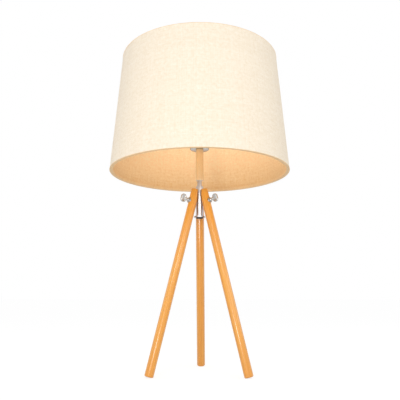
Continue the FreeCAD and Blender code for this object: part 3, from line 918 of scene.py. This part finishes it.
# ------------------------------------------------------------------ lampholder and bulb
@dataclass
class Lampholder:
    """Seat disc, lampholder and ring nut."""

    shop: Workshop
    tube_clearance: float = 0.15 * MM
    lip: float = 2.0 * MM
    skirt: float = 2.8 * MM             # how far the disc's rim hangs below its seat on the post
    cap_wall: float = 1.6 * MM
    cap_curve: float = 8.0 * MM
    thread_pitch: float = 2.5 * MM
    thread_depth: float = 0.75 * MM
    barrel_diameter: float = 39.4 * MM
    barrel_wall: float = 1.9 * MM
    nut_ribs: int = 36
    nut_flange: float = 2.4 * MM

    def build(self) -> None:
        """Make the plated and moulded pieces, and dress the hidden ones as they are."""
        shop = self.shop
        base = Body.BASE.value
        shop.publish("seat_disc", self._disc(), Slot.NICKEL, base, ["seat_disc"])
        shop.publish("lampholder_cap", self._cap(), Slot.HOLDER_PLASTIC, base, ["lampholder_cap"])
        shop.publish("lampholder_barrel", self._barrel(), Slot.HOLDER_PLASTIC, base, ["lampholder_barrel"])
        shop.publish("shade_ring_nut", self._ring_nut(), Slot.HOLDER_PLASTIC, Body.RING_NUT.value,
                     ["shade_ring_nut"])
        shop.dress(Slot.STEEL, "cap_nut")
        shop.dress(Slot.WHITE_CERAMIC, "lampholder_insert")
        shop.dress(Slot.BRASS, "terminal_screws", "screw_shell", "centre_contact")

    def _disc(self) -> Form:
        """Plated disc whose skirt hangs round the post, with a bead round its upper edge."""
        disc = Extent.of("seat_disc")
        bore = Extent.of("stem_tube").radius + self.tube_clearance
        sleeve = Extent.of("post").radius + 0.1 * MM
        foot = disc.bottom - self.skirt
        neck = disc.radius - 0.45 * MM
        bead = disc.top - 1.5 * MM
        return Form.turned(
            (bore, disc.bottom),
            (sleeve, disc.bottom),
            (sleeve, foot),
            (disc.radius, foot, self.lip),
            (disc.radius, bead - 0.6 * MM, 0.2 * MM),
            (neck, bead - 0.3 * MM, 0.1 * MM),
            (neck, bead, 0.1 * MM),
            (disc.radius, bead + 0.3 * MM, 0.25 * MM),
            (disc.radius, disc.top, 0.4 * MM),
            (bore, disc.top),
            segments=128,
        )

    def _cap(self) -> Form:
        """Cup-shaped cap with two turned lines round its side."""
        cap = Extent.of("lampholder_cap")
        bore = Extent.of("stem_tube").radius + self.tube_clearance
        outer = cap.radius
        line = 0.35 * MM
        corners: list[Corner] = [(bore, cap.bottom), (outer, cap.bottom, self.cap_curve)]
        for share in (0.55, 0.68):
            height = cap.bottom + share * (cap.top - cap.bottom)
            corners += [(outer, height - line), (outer - line, height), (outer, height + line)]
        inner = outer - self.cap_wall
        floor = cap.bottom + self.cap_wall
        corners += [
            (outer, cap.top, 0.4 * MM),
            (inner, cap.top),
            (inner, floor, self.cap_curve - self.cap_wall),
            (bore, floor),
        ]
        return Form.turned(*corners)

    def _barrel(self) -> Form:
        """Threaded barrel with the shoulder that the shade stands on."""
        barrel = Extent.of("lampholder_barrel")
        cap_top = Extent.of("lampholder_cap").top
        shoulder_top = Extent.of("spider_ring").bottom - 0.1 * MM
        bore = self.barrel_diameter / 2 - self.barrel_wall
        root = self.barrel_diameter / 2 - self.thread_depth
        spigot = Extent.of("lampholder_cap").radius - self.cap_wall - 0.1 * MM
        form = Form.turned(
            (bore, barrel.bottom),
            (spigot, barrel.bottom),
            (spigot, cap_top),
            (barrel.radius, cap_top, 0.4 * MM),
            (barrel.radius, shoulder_top, 0.5 * MM),
            (root, shoulder_top),
            (root, barrel.top, 0.3 * MM),
            (bore, barrel.top, 0.3 * MM),
        )
        crest = self.barrel_diameter / 2
        start = shoulder_top + self.thread_pitch
        form.add(Form.thread(root, crest, self.thread_pitch, start, barrel.top - self.thread_pitch * 0.6, 64))
        return form

    def _ring_nut(self) -> Form:
        """Ring nut: a flange, and a collar with grip ribs."""
        nut = Extent.of("shade_ring_nut")
        bore = self.barrel_diameter / 2 + 0.1 * MM
        collar = bore + 3.7 * MM - 0.7 * MM
        flange_top = nut.bottom + self.nut_flange
        form = Form.turned(
            (bore, nut.bottom),
            (nut.radius, nut.bottom, 0.5 * MM),
            (nut.radius, flange_top, 0.8 * MM),
            (collar, flange_top, 0.4 * MM),
            (collar, nut.top, 0.6 * MM),
            (bore, nut.top, 0.3 * MM),
        )
        rib = Form()
        height = nut.top - flange_top - 0.8 * MM
        place = Matrix.Translation((collar, 0, flange_top + height / 2))
        size = Matrix.Diagonal((1.4 * MM, 2.0 * MM, height, 1.0))
        bmesh.ops.create_cube(rib.bm, size=1.0, matrix=place @ size)
        outer = [
            edge for edge in rib.bm.edges
            if all(v.co.x > collar for v in edge.verts)
        ]
        rib.soften(outer, 0.5 * MM, 3)
        bmesh.ops.spin(
            rib.bm, geom=rib.bm.verts[:] + rib.bm.edges[:] + rib.bm.faces[:], cent=(0, 0, 0),
            axis=Z_AXIS, angle=math.tau, steps=self.nut_ribs, use_duplicate=True,
        )
        rib.tidy()
        form.add(rib)
        return form


@dataclass
class Bulb:
    """Opal bulb with a threaded cap."""

    shop: Workshop
    ball_diameter: float = 60.0 * MM
    neck_curve: float = 35.0 * MM
    cap_wall: float = 0.4 * MM
    thread_pitch: float = 3.6 * MM
    thread_depth: float = 0.8 * MM
    arc_steps: int = 28

    def build(self) -> None:
        """Make the glass and the cap, and dress the foot as it is."""
        bulb = Body.BULB.value
        self.shop.publish("bulb_glass", self._glass(), Slot.OPAL_GLASS, bulb, ["bulb_glass"])
        self.shop.publish("bulb_cap", self._cap(), Slot.BULB_NICKEL, bulb, ["bulb_cap"])
        self.shop.dress(Slot.BLACK_GLASS, "bulb_insulator")
        self.shop.dress(Slot.SOLDER, "bulb_contact")

    def _glass(self) -> Form:
        """Envelope: a ball that a hollow curve draws into the neck."""
        glass = Extent.of("bulb_glass")
        ball = self.ball_diameter / 2
        neck = Extent.of("bulb_cap").radius - self.cap_wall
        ball_z = glass.top - ball
        curve_r = neck + self.neck_curve
        drop = math.sqrt((ball + self.neck_curve) ** 2 - curve_r ** 2)
        lean = math.atan2(drop, curve_r)
        corners: list[Corner] = [(0.0, glass.bottom), (neck, glass.bottom)]
        for step in range(self.arc_steps):
            turn = math.pi - lean * step / self.arc_steps
            corners.append((curve_r + self.neck_curve * math.cos(turn),
                            ball_z - drop + self.neck_curve * math.sin(turn)))
        for step in range(self.arc_steps + 1):
            turn = -lean + (math.pi / 2 + lean) * step / self.arc_steps
            corners.append((max(0.0, ball * math.cos(turn)), ball_z + ball * math.sin(turn)))
        corners[-1] = (0.0, glass.top)
        return Form.turned(*corners)

    def _cap(self) -> Form:
        """Rolled screw cap, drawn in at its foot."""
        cap = Extent.of("bulb_cap")
        root = cap.radius - self.thread_depth
        foot = 10.5 * MM
        side = cap.bottom + root - foot
        wall = self.cap_wall
        form = Form.turned(
            (foot, cap.bottom),
            (root, side, 0.6 * MM),
            (root, cap.top - 4.5 * MM, 0.5 * MM),
            (cap.radius, cap.top - 3.9 * MM, 0.5 * MM),
            (cap.radius, cap.top, 0.15 * MM),
            (cap.radius - wall, cap.top, 0.15 * MM),
            (cap.radius - wall, cap.top - 3.6 * MM),
            (root - wall, cap.top - 4.2 * MM),
            (root - wall, side + wall / 2),
            (foot - wall, cap.bottom + wall),
            (foot - wall, cap.bottom),
            segments=80,
        )
        start = side + self.thread_pitch * 0.55
        end = cap.top - 4.5 * MM - self.thread_pitch * 0.5
        form.add(Form.thread(root, cap.radius, self.thread_pitch, start, end, 56))
        return form


# ------------------------------------------------------------------ shade
@dataclass
class Shade:
    """Tapered drum shade: linen over a film liner, wire hoops, rolled edges and a spider."""

    shop: Workshop
    cloth: float = 0.5 * MM
    lap: float = 10.0 * MM              # linen laps over itself at the back
    lap_azimuth: float = 84.0
    columns: int = 288
    rows: int = 16
    ripple: float = 0.12 * MM
    liner_depth: float = 0.7 * MM       # outer face of the linen to the liner
    liner: float = 0.8 * MM
    edge: float = 0.5 * MM              # thickness of the turned-in linen
    edge_leg: float = 5.0 * MM
    arm_diameter: float = 3.2 * MM
    arm_bend: float = 8.0 * MM
    arm_start: float = 24.6 * MM
    arm_turn: float = 36.0 * MM
    arm_names: tuple[str, ...] = ("back", "left", "right")

    def __post_init__(self) -> None:
        """Read the shade's taper from the frame."""
        top = Extent.of("shade_top_hem")
        bottom = Extent.of("shade_bottom_hem")
        self.top = top.top
        self.bottom = bottom.bottom
        self.top_radius = top.radius
        skin = Extent.of("shade_skin")
        self.taper = (skin.radius - self.top_radius) / (self.top - skin.bottom)
        self.top_radius = skin.radius - self.taper * (self.top - skin.bottom)

    def radius(self, height: float) -> float:
        """Radius of the linen's outer face at a height."""
        return self.top_radius + self.taper * (self.top - height)

    def build(self) -> None:
        """Make the cloth, its liner and edges, then the wires and the spider."""
        body = Body.SHADE.value
        skin = self.shop.publish("shade_skin", self._skin(), Slot.LINEN, body, ["shade_skin"], 60)
        self.shop.publish("shade_liner", self._liner(), Slot.LINER_FILM, body, ["shade_liner"], 60)
        for end in ShadeEnd:
            name = "shade_%s_hem" % end.name.lower()
            self.shop.publish(name, self._hem(end), Slot.LINEN_TAPE, body, [name], 60)
            wire = "shade_%s_wire" % end.name.lower()
            self.shop.publish(wire, self._wire(wire), Slot.PAINTED_WIRE, body, [wire])
        self._spider()
        self._declare()

    def _declare(self) -> None:
        """Work out the linen's narrow and wide radii, which nothing uses."""
        narrow = self.radius(self.top)
        wide = self.radius(self.bottom)

    def _wrapped(self, turn: float, columns: int, radius: Callable[[float, float], float],
                 low: float, high: float) -> Form:
        """Sheet wrapped round the lamp's axis.

        Args:
            turn: Angle that it covers.
            columns: Faces round it.
            radius: Radius at an angle from its start and at a height.
            low: Height of its lower edge.
            high: Height of its upper edge.

        Returns:
            The sheet, with its weave laid in metres.
        """
        form = Form()
        layer = form.bm.loops.layers.uv.new(WEAVE)
        bmesh.ops.create_grid(form.bm, x_segments=columns, y_segments=self.rows, size=0.5, calc_uvs=True)
        mean = self.radius((low + high) / 2)
        for face in form.bm.faces:
            for loop in face.loops:
                share = loop.vert.co
                loop[layer].uv = ((share.x + 0.5) * turn * mean, (share.y + 0.5) * (high - low))
        for vert in form.bm.verts:
            angle = (vert.co.x + 0.5) * turn
            height = low + (vert.co.y + 0.5) * (high - low)
            azimuth = math.radians(self.lap_azimuth) + angle
            distance = radius(angle, height)
            vert.co = (distance * math.cos(azimuth), distance * math.sin(azimuth), height)
        return form

    def _skin(self) -> Form:
        """The linen, with its lap at the back."""
        covered = math.tau + self.lap / self.radius(self.bottom)
        rise = 3.0 * MM / self.radius(self.bottom)

        def outer(angle: float, height: float) -> float:
            """Radius of the cloth's middle, over its own start at the lap."""
            over = min(1.0, max(0.0, (angle - math.tau + rise) / rise))
            spot = Vector((math.cos(angle), math.sin(angle), height * 9.0)) * 6.0
            wave = self.ripple * noise.noise(spot) * (1.0 - over)
            return self.radius(height) - self.cloth / 2 - 0.1 * MM + wave + over * (self.cloth + 0.05 * MM)

        form = self._wrapped(covered, self.columns, outer, self.bottom + self.edge, self.top - self.edge)
        bmesh.ops.recalc_face_normals(form.bm, faces=form.bm.faces[:])
        bmesh.ops.solidify(form.bm, geom=form.bm.faces[:], thickness=self.cloth)
        bmesh.ops.recalc_face_normals(form.bm, faces=form.bm.faces[:])
        return form

    def _liner(self) -> Form:
        """The film that the linen is glued to."""
        def inner(angle: float, height: float) -> float:
            """Radius of the film's outer face."""
            return self.radius(height) - self.liner_depth

        form = self._wrapped(math.tau, 192, inner, self.bottom + self.edge, self.top - self.edge)
        bmesh.ops.remove_doubles(form.bm, verts=form.bm.verts[:], dist=0.01 * MM)
        bmesh.ops.recalc_face_normals(form.bm, faces=form.bm.faces[:])
        bmesh.ops.solidify(form.bm, geom=form.bm.faces[:], thickness=self.liner)
        bmesh.ops.recalc_face_normals(form.bm, faces=form.bm.faces[:])
        return form

    def _hem(self, end: ShadeEnd) -> Form:
        """Linen turned in over one wire hoop, slightly puckered, slit where arms pass."""
        height = self.top if end is ShadeEnd.TOP else self.bottom
        node = Extent.of("shade_%s_wire" % end.name.lower())
        inwards = end.value
        leg_outer = node.radius - 3.0 * MM - 0.05 * MM
        shelf = height + inwards * self.edge
        leg_end = height + inwards * self.edge_leg
        outer = self.radius(height)
        form = Form.turned(
            (outer, height, 0.42 * MM),
            (self.radius(shelf), shelf),
            (leg_outer, shelf),
            (leg_outer, leg_end, 0.2 * MM),
            (leg_outer - self.edge, leg_end, 0.2 * MM),
            (leg_outer - self.edge, height, 0.45 * MM),
            segments=360,
        )
        for vert in form.bm.verts:
            flat = vert.co.xy.length
            if flat > leg_outer + 0.1 * MM:
                continue
            turn = math.atan2(vert.co.y, vert.co.x)
            deep = abs(vert.co.z - height) / self.edge_leg
            pucker = 0.10 * MM * math.sin(67 * turn + 2.0 * math.sin(9 * turn)) * deep
            pucker += 0.06 * MM * math.sin(31 * turn + 1.3) * deep
            vert.co.xy *= (flat - abs(pucker)) / flat
        if end is ShadeEnd.TOP:
            for azimuth in self._arm_azimuths():
                slit = Form.rod(self.arm_diameter / 2 + 0.4 * MM, 0.0, 30 * MM, 24)
                reach = Matrix.Translation((self.radius(height) - 26 * MM, 0, height - 24 * MM))
                tilt = Matrix.Rotation(self._arm_rise(), 4, "Y")
                form.cut(slit.move(Matrix.Rotation(azimuth, 4, "Z") @ reach @ tilt))
        form.wrap_weave()
        return form

    def _wire(self, name: str) -> Form:
        """Round wire hoop, its ends butted and welded at the back."""
        hoop = Extent.of(name)
        wire = (hoop.top - hoop.bottom) / 2
        form = Form()
        place = Matrix.Translation((hoop.radius - wire, 0, (hoop.top + hoop.bottom) / 2))
        stand = Matrix.Rotation(math.pi / 2, 4, "X")
        bmesh.ops.create_circle(form.bm, segments=12, radius=wire, matrix=place @ stand)
        bmesh.ops.spin(
            form.bm, geom=form.bm.verts[:] + form.bm.edges[:], cent=(0, 0, 0), axis=Z_AXIS,
            angle=math.tau, steps=180, use_merge=True,
        )
        form.tidy()
        return form

    def _arm_azimuths(self) -> list[float]:
        """Azimuths of the spider's arms, in radians, from the back."""
        return [math.pi / 2 + math.tau * step / len(self.arm_names) for step in range(len(self.arm_names))]

    def _arm_ends(self) -> tuple[Vector, Vector]:
        """Corner of an arm's centre line, and where it meets the wire hoop, in the X-Z plane."""
        hoop = Extent.of("shade_top_wire")
        wire = (hoop.top - hoop.bottom) / 2
        low = Extent.of("spider_ring").bottom - self.arm_diameter / 2
        corner = Vector((self.arm_turn, 0, low))
        target = Vector((hoop.radius - wire, 0, (hoop.top + hoop.bottom) / 2))
        rise = (target - corner).normalized()
        return corner, target - rise * (wire + 0.05 * MM)

    def _arm_rise(self) -> float:
        """Angle between the vertical and the long stretch of an arm."""
        corner, end = self._arm_ends()
        return math.atan2(end.x - corner.x, end.z - corner.z)

    def _spider(self) -> None:
        """Fitting ring and its bent arms."""
        body = Body.SHADE.value
        ring = Extent.of("spider_ring")
        bore = 21.0 * MM
        form = Form.turned(
            (bore, ring.bottom, 0.3 * MM),
            (ring.radius, ring.bottom, 0.5 * MM),
            (ring.radius, ring.top, 0.5 * MM),
            (bore, ring.top, 0.3 * MM),
        )
        self.shop.publish("spider_ring", form, Slot.PAINTED_WIRE, body, ["spider_ring"])
        for name, azimuth in zip(self.arm_names, self._arm_azimuths()):
            node = "spider_arm_" + name
            arm = self._arm().move(Matrix.Rotation(azimuth, 4, "Z"))
            self.shop.publish(node, arm, Slot.PAINTED_WIRE, body, [node], 50)

    def _arm(self) -> Form:
        """One arm in the X-Z plane: out under the ring, a bend, then up to the hoop."""
        corner, end = self._arm_ends()
        angle = math.atan2(end.z - corner.z, end.x - corner.x)
        cut_back = self.arm_bend * math.tan(angle / 2)
        form = Form()
        bm = form.bm
        stand = Matrix.Rotation(math.pi / 2, 4, "Y")
        start = Matrix.Translation((self.arm_start, 0, corner.z))
        bmesh.ops.create_circle(bm, cap_ends=True, segments=20, radius=self.arm_diameter / 2, matrix=start @ stand)
        front = bm.edges[:]
        front = self._draw_out(form, front, Vector((corner.x - cut_back - self.arm_start, 0, 0)))
        swept = bmesh.ops.spin(
            bm, geom=front, cent=(corner.x - cut_back, 0, corner.z + self.arm_bend), axis=(0, -1, 0),
            angle=angle, steps=12,
        )
        front = [item for item in swept["geom_last"] if isinstance(item, bmesh.types.BMEdge)]
        bend_end = corner + Vector((math.cos(angle), 0, math.sin(angle))) * cut_back
        front = self._draw_out(form, front, end - bend_end)
        bmesh.ops.holes_fill(bm, edges=front, sides=0)
        form.tidy()
        return form

    @staticmethod
    def _draw_out(form: Form, edges: list[bmesh.types.BMEdge], by: Vector) -> list[bmesh.types.BMEdge]:
        """Extend an open end in a straight line, and return its new edges."""
        drawn = bmesh.ops.extrude_edge_only(form.bm, edges=edges)["geom"]
        verts = [item for item in drawn if isinstance(item, bmesh.types.BMVert)]
        bmesh.ops.translate(form.bm, verts=verts, vec=by)
        return [item for item in drawn if isinstance(item, bmesh.types.BMEdge)
                and all(vert in verts for vert in item.verts)]


# ------------------------------------------------------------------ studio
@dataclass
class Studio:
    """White studio: camera, soft lamps, white surroundings and a floor that keeps a shadow."""

    camera_place: tuple[float, float, float] = (0.02304, -0.79997, 0.1197)
    camera_tilt: float = 11.08
    camera_turn: float = 1.65
    lens: float = 43.92
    shift: float = 0.001
    ambient: float = 0.68
    floor_size: float = 30.0
    floor_albedo: float = 0.34
    floor_white: float = 0.76

    def build(self) -> None:
        """Set up the view, the surroundings, the floor and the lamps."""
        bpy.context.scene.view_settings.view_transform = "Standard"
        self._camera()
        self._surroundings()
        self._floor()
        self._lamp("key_light", (-0.22, -1.10, 0.62), (0.0, 0.0, 0.34), 0.30, 2.2, (1.0, 0.98, 0.95))
        self._lamp("low_light", (-0.20, -0.93, 0.06), (0.0, 0.05, 0.36), 0.20, 2.1, (1.0, 0.97, 0.93))
        self._lamp("side_light", (0.62, -1.00, 0.50), (0.0, 0.0, 0.27), 0.36, 1.5, (1.0, 0.98, 0.96))
        self._lamp("left_fill", (-1.20, -0.15, 0.50), (0.0, 0.0, 0.42), 0.50, 0.8, (1.0, 0.96, 0.93))
        self._lamp("right_fill", (1.20, -0.15, 0.50), (0.0, 0.0, 0.42), 0.50, 1.6, (1.0, 0.97, 0.94))

    def _camera(self) -> None:
        """Camera where the photograph was taken from."""
        data = bpy.data.cameras.new("camera")
        data.lens = self.lens
        data.sensor_width = 36.0
        data.shift_x = self.shift
        data.clip_start = 0.01
        camera = bpy.data.objects.new("camera", data)
        camera.location = self.camera_place
        camera.rotation_euler = (math.radians(90 + self.camera_tilt), 0, math.radians(self.camera_turn))
        bpy.context.scene.collection.objects.link(camera)
        bpy.context.scene.camera = camera

    @staticmethod
    def _seen_directly(tree: bpy.types.NodeTree) -> bpy.types.NodeSocket:
        """Socket that is 1 on camera, glossy and transmission rays, and 0 on the rest."""
        path = tree.nodes.new("ShaderNodeLightPath").outputs
        total = path["Is Camera Ray"]
        for ray in ("Is Glossy Ray", "Is Transmission Ray"):
            either = tree.nodes.new("ShaderNodeMath")
            either.operation = "MAXIMUM"
            tree.links.new(total, either.inputs[0])
            tree.links.new(path[ray], either.inputs[1])
            total = either.outputs[0]
        return total

    def _surroundings(self) -> None:
        """World that lights softly and looks white."""
        world = bpy.data.worlds.new("studio")
        world.use_nodes = True
        tree = world.node_tree
        tree.nodes.clear()
        lit = tree.nodes.new("ShaderNodeBackground")
        lit.inputs["Strength"].default_value = self.ambient
        white = tree.nodes.new("ShaderNodeBackground")
        white.inputs["Strength"].default_value = 1.0
        for background in (lit, white):
            background.inputs["Color"].default_value = (1.0, 1.0, 1.0, 1.0)
        blend = tree.nodes.new("ShaderNodeMixShader")
        tree.links.new(self._seen_directly(tree), blend.inputs[0])
        tree.links.new(lit.outputs[0], blend.inputs[1])
        tree.links.new(white.outputs[0], blend.inputs[2])
        output = tree.nodes.new("ShaderNodeOutputWorld")
        tree.links.new(blend.outputs[0], output.inputs["Surface"])
        bpy.context.scene.world = world

    def _floor(self) -> None:
        """Pale floor: white where it is open, a little darker in the lamp's shadow."""
        graph = Graph("floor")
        pale = (self.floor_albedo, self.floor_albedo, self.floor_albedo, 1.0)
        matt = graph.add("BsdfDiffuse", {"Color": pale})
        white = graph.add("Emission", {"Color": (1.0, 1.0, 1.0, 1.0), "Strength": self.floor_white})
        dark = graph.add("BsdfDiffuse", {"Color": (0.72, 0.72, 0.72, 1.0)})
        both = graph.add("AddShader", {0: matt.outputs[0], 1: white.outputs[0]})
        seen = self._seen_directly(graph.tree)
        surface = graph.add("MixShader", {0: seen, 1: dark.outputs[0], 2: both.outputs[0]})
        graph.add("OutputMaterial", {"Surface": surface.outputs[0]})
        form = Form()
        bmesh.ops.create_grid(form.bm, x_segments=1, y_segments=1, size=self.floor_size / 2)
        mesh = bpy.data.meshes.new("floor")
        form.bm.to_mesh(mesh)
        mesh.materials.append(graph.material)
        floor = bpy.data.objects.new("floor", mesh)
        bpy.context.scene.collection.objects.link(floor)

    @staticmethod
    def _lamp(name: str, place: Sequence[float], target: Sequence[float], size: float,
              power: float, tint: Sequence[float]) -> None:
        """Soft round lamp that points at a target."""
        data = bpy.data.lights.new(name, "AREA")
        data.shape = "DISK"
        data.size = size
        data.energy = power
        data.color = tint
        lamp = bpy.data.objects.new(name, data)
        lamp.location = place
        ahead = Vector(target) - Vector(place)
        lamp.rotation_euler = ahead.to_track_quat("-Z", "Y").to_euler()
        bpy.context.scene.collection.objects.link(lamp)


def finishes() -> dict[Slot, Finish]:
    """Finish of each material slot."""
    bulb = Extent.of("bulb_glass")
    hub = Extent.of("hub")
    painted_glow_tint = srgb(255, 214, 160)
    # Tint of the bulb's light, also used for the liner's painted glow.
    lit = srgb(255, 244, 224)
    return {
        # The turned wood darkens towards the hub's top: partly stain, partly painted shade of the lampshade's
        # shadow.
        Slot.TURNED_WOOD: WoodFinish("turned wood", srgb(243, 168, 60), srgb(216, 132, 38),
                                     3.4 * MM, (0.05, 0.02), stain_and_shade=srgb(188, 84, 16),
                                     stain_and_shade_from=hub.bottom + 6 * MM, stain_and_shade_to=hub.top + 2 * MM),
        Slot.LEG_WOOD: WoodFinish("leg wood", srgb(241, 174, 66), srgb(221, 141, 42)),
        Slot.PALE_WOOD: WoodFinish("pale wood", srgb(255, 222, 170), srgb(242, 198, 140)),
        Slot.STEEL: MetalFinish("zinc plated steel", (0.60, 0.60, 0.62, 1.0), 0.32),
        Slot.NICKEL: MetalFinish("nickel plate", (0.50, 0.49, 0.475, 1.0), 0.22),
        Slot.BLACK_PLASTIC: MouldedFinish("black plastic", srgb(63, 60, 57), 0.5),
        Slot.HOLDER_PLASTIC: MouldedFinish("holder plastic", srgb(226, 222, 212), 0.36),
        Slot.WHITE_CERAMIC: MouldedFinish("ceramic", srgb(232, 229, 221), 0.55, 0.02 * MM, 1500.0),
        Slot.BRASS: MetalFinish("brass", (0.80, 0.60, 0.28, 1.0), 0.26),
        Slot.OPAL_GLASS: OpalFinish("opal glass", srgb(246, 240, 228), lit, 4.0,
                                    bulb.bottom + 5 * MM, bulb.top - 50 * MM),
        Slot.BULB_NICKEL: MetalFinish("cap nickel", (0.68, 0.67, 0.65, 1.0), 0.24),
        Slot.BLACK_GLASS: MouldedFinish("black glass", srgb(22, 22, 24), 0.12, gloss=0.5),
        Slot.SOLDER: MetalFinish("solder", (0.62, 0.62, 0.63, 1.0), 0.42, 0.02 * MM),
        # Linen, liner and edge glow: painted light standing in for the bulb's light coming through the shade.
        Slot.LINEN: WeaveFinish("linen", srgb(249, 243, 232), srgb(230, 217, 194), painted_glow_tint, 0.12, 0.12),
        Slot.LINER_FILM: WeaveFinish("liner film", srgb(255, 228, 186), srgb(235, 193, 130), lit, 0.02, 0.24,
                                     relief=0.04 * MM, film=0.12, painted_glow_beside_bulb=0.2),
        Slot.PAINTED_WIRE: MouldedFinish("white enamel", srgb(228, 224, 214), 0.3, gloss=0.3),
        Slot.LINEN_TAPE: WeaveFinish("linen edge", srgb(245, 216, 172), srgb(224, 190, 142), painted_glow_tint, 0.12, 0.12),
    }


def main() -> None:
    """Build the studio and the lamp."""
    logging.basicConfig(level=logging.INFO, format="%(name)s: %(message)s")
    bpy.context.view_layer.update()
    Studio().build()
    shop = Workshop(finishes())
    names = ("back", "front_left", "front_right")
    places = [LegPlace(name, 90.0 + 360.0 / len(names) * step) for step, name in enumerate(names)]
    Legs(shop, places).build()
    Hub(shop, places).build()
    WingScrews(shop, places).build()
    Lampholder(shop).build()
    Bulb(shop).build()
    Shade(shop).build()
    LOG.info("%d pieces made", shop.made)


if __name__ == "__main__":
    main()
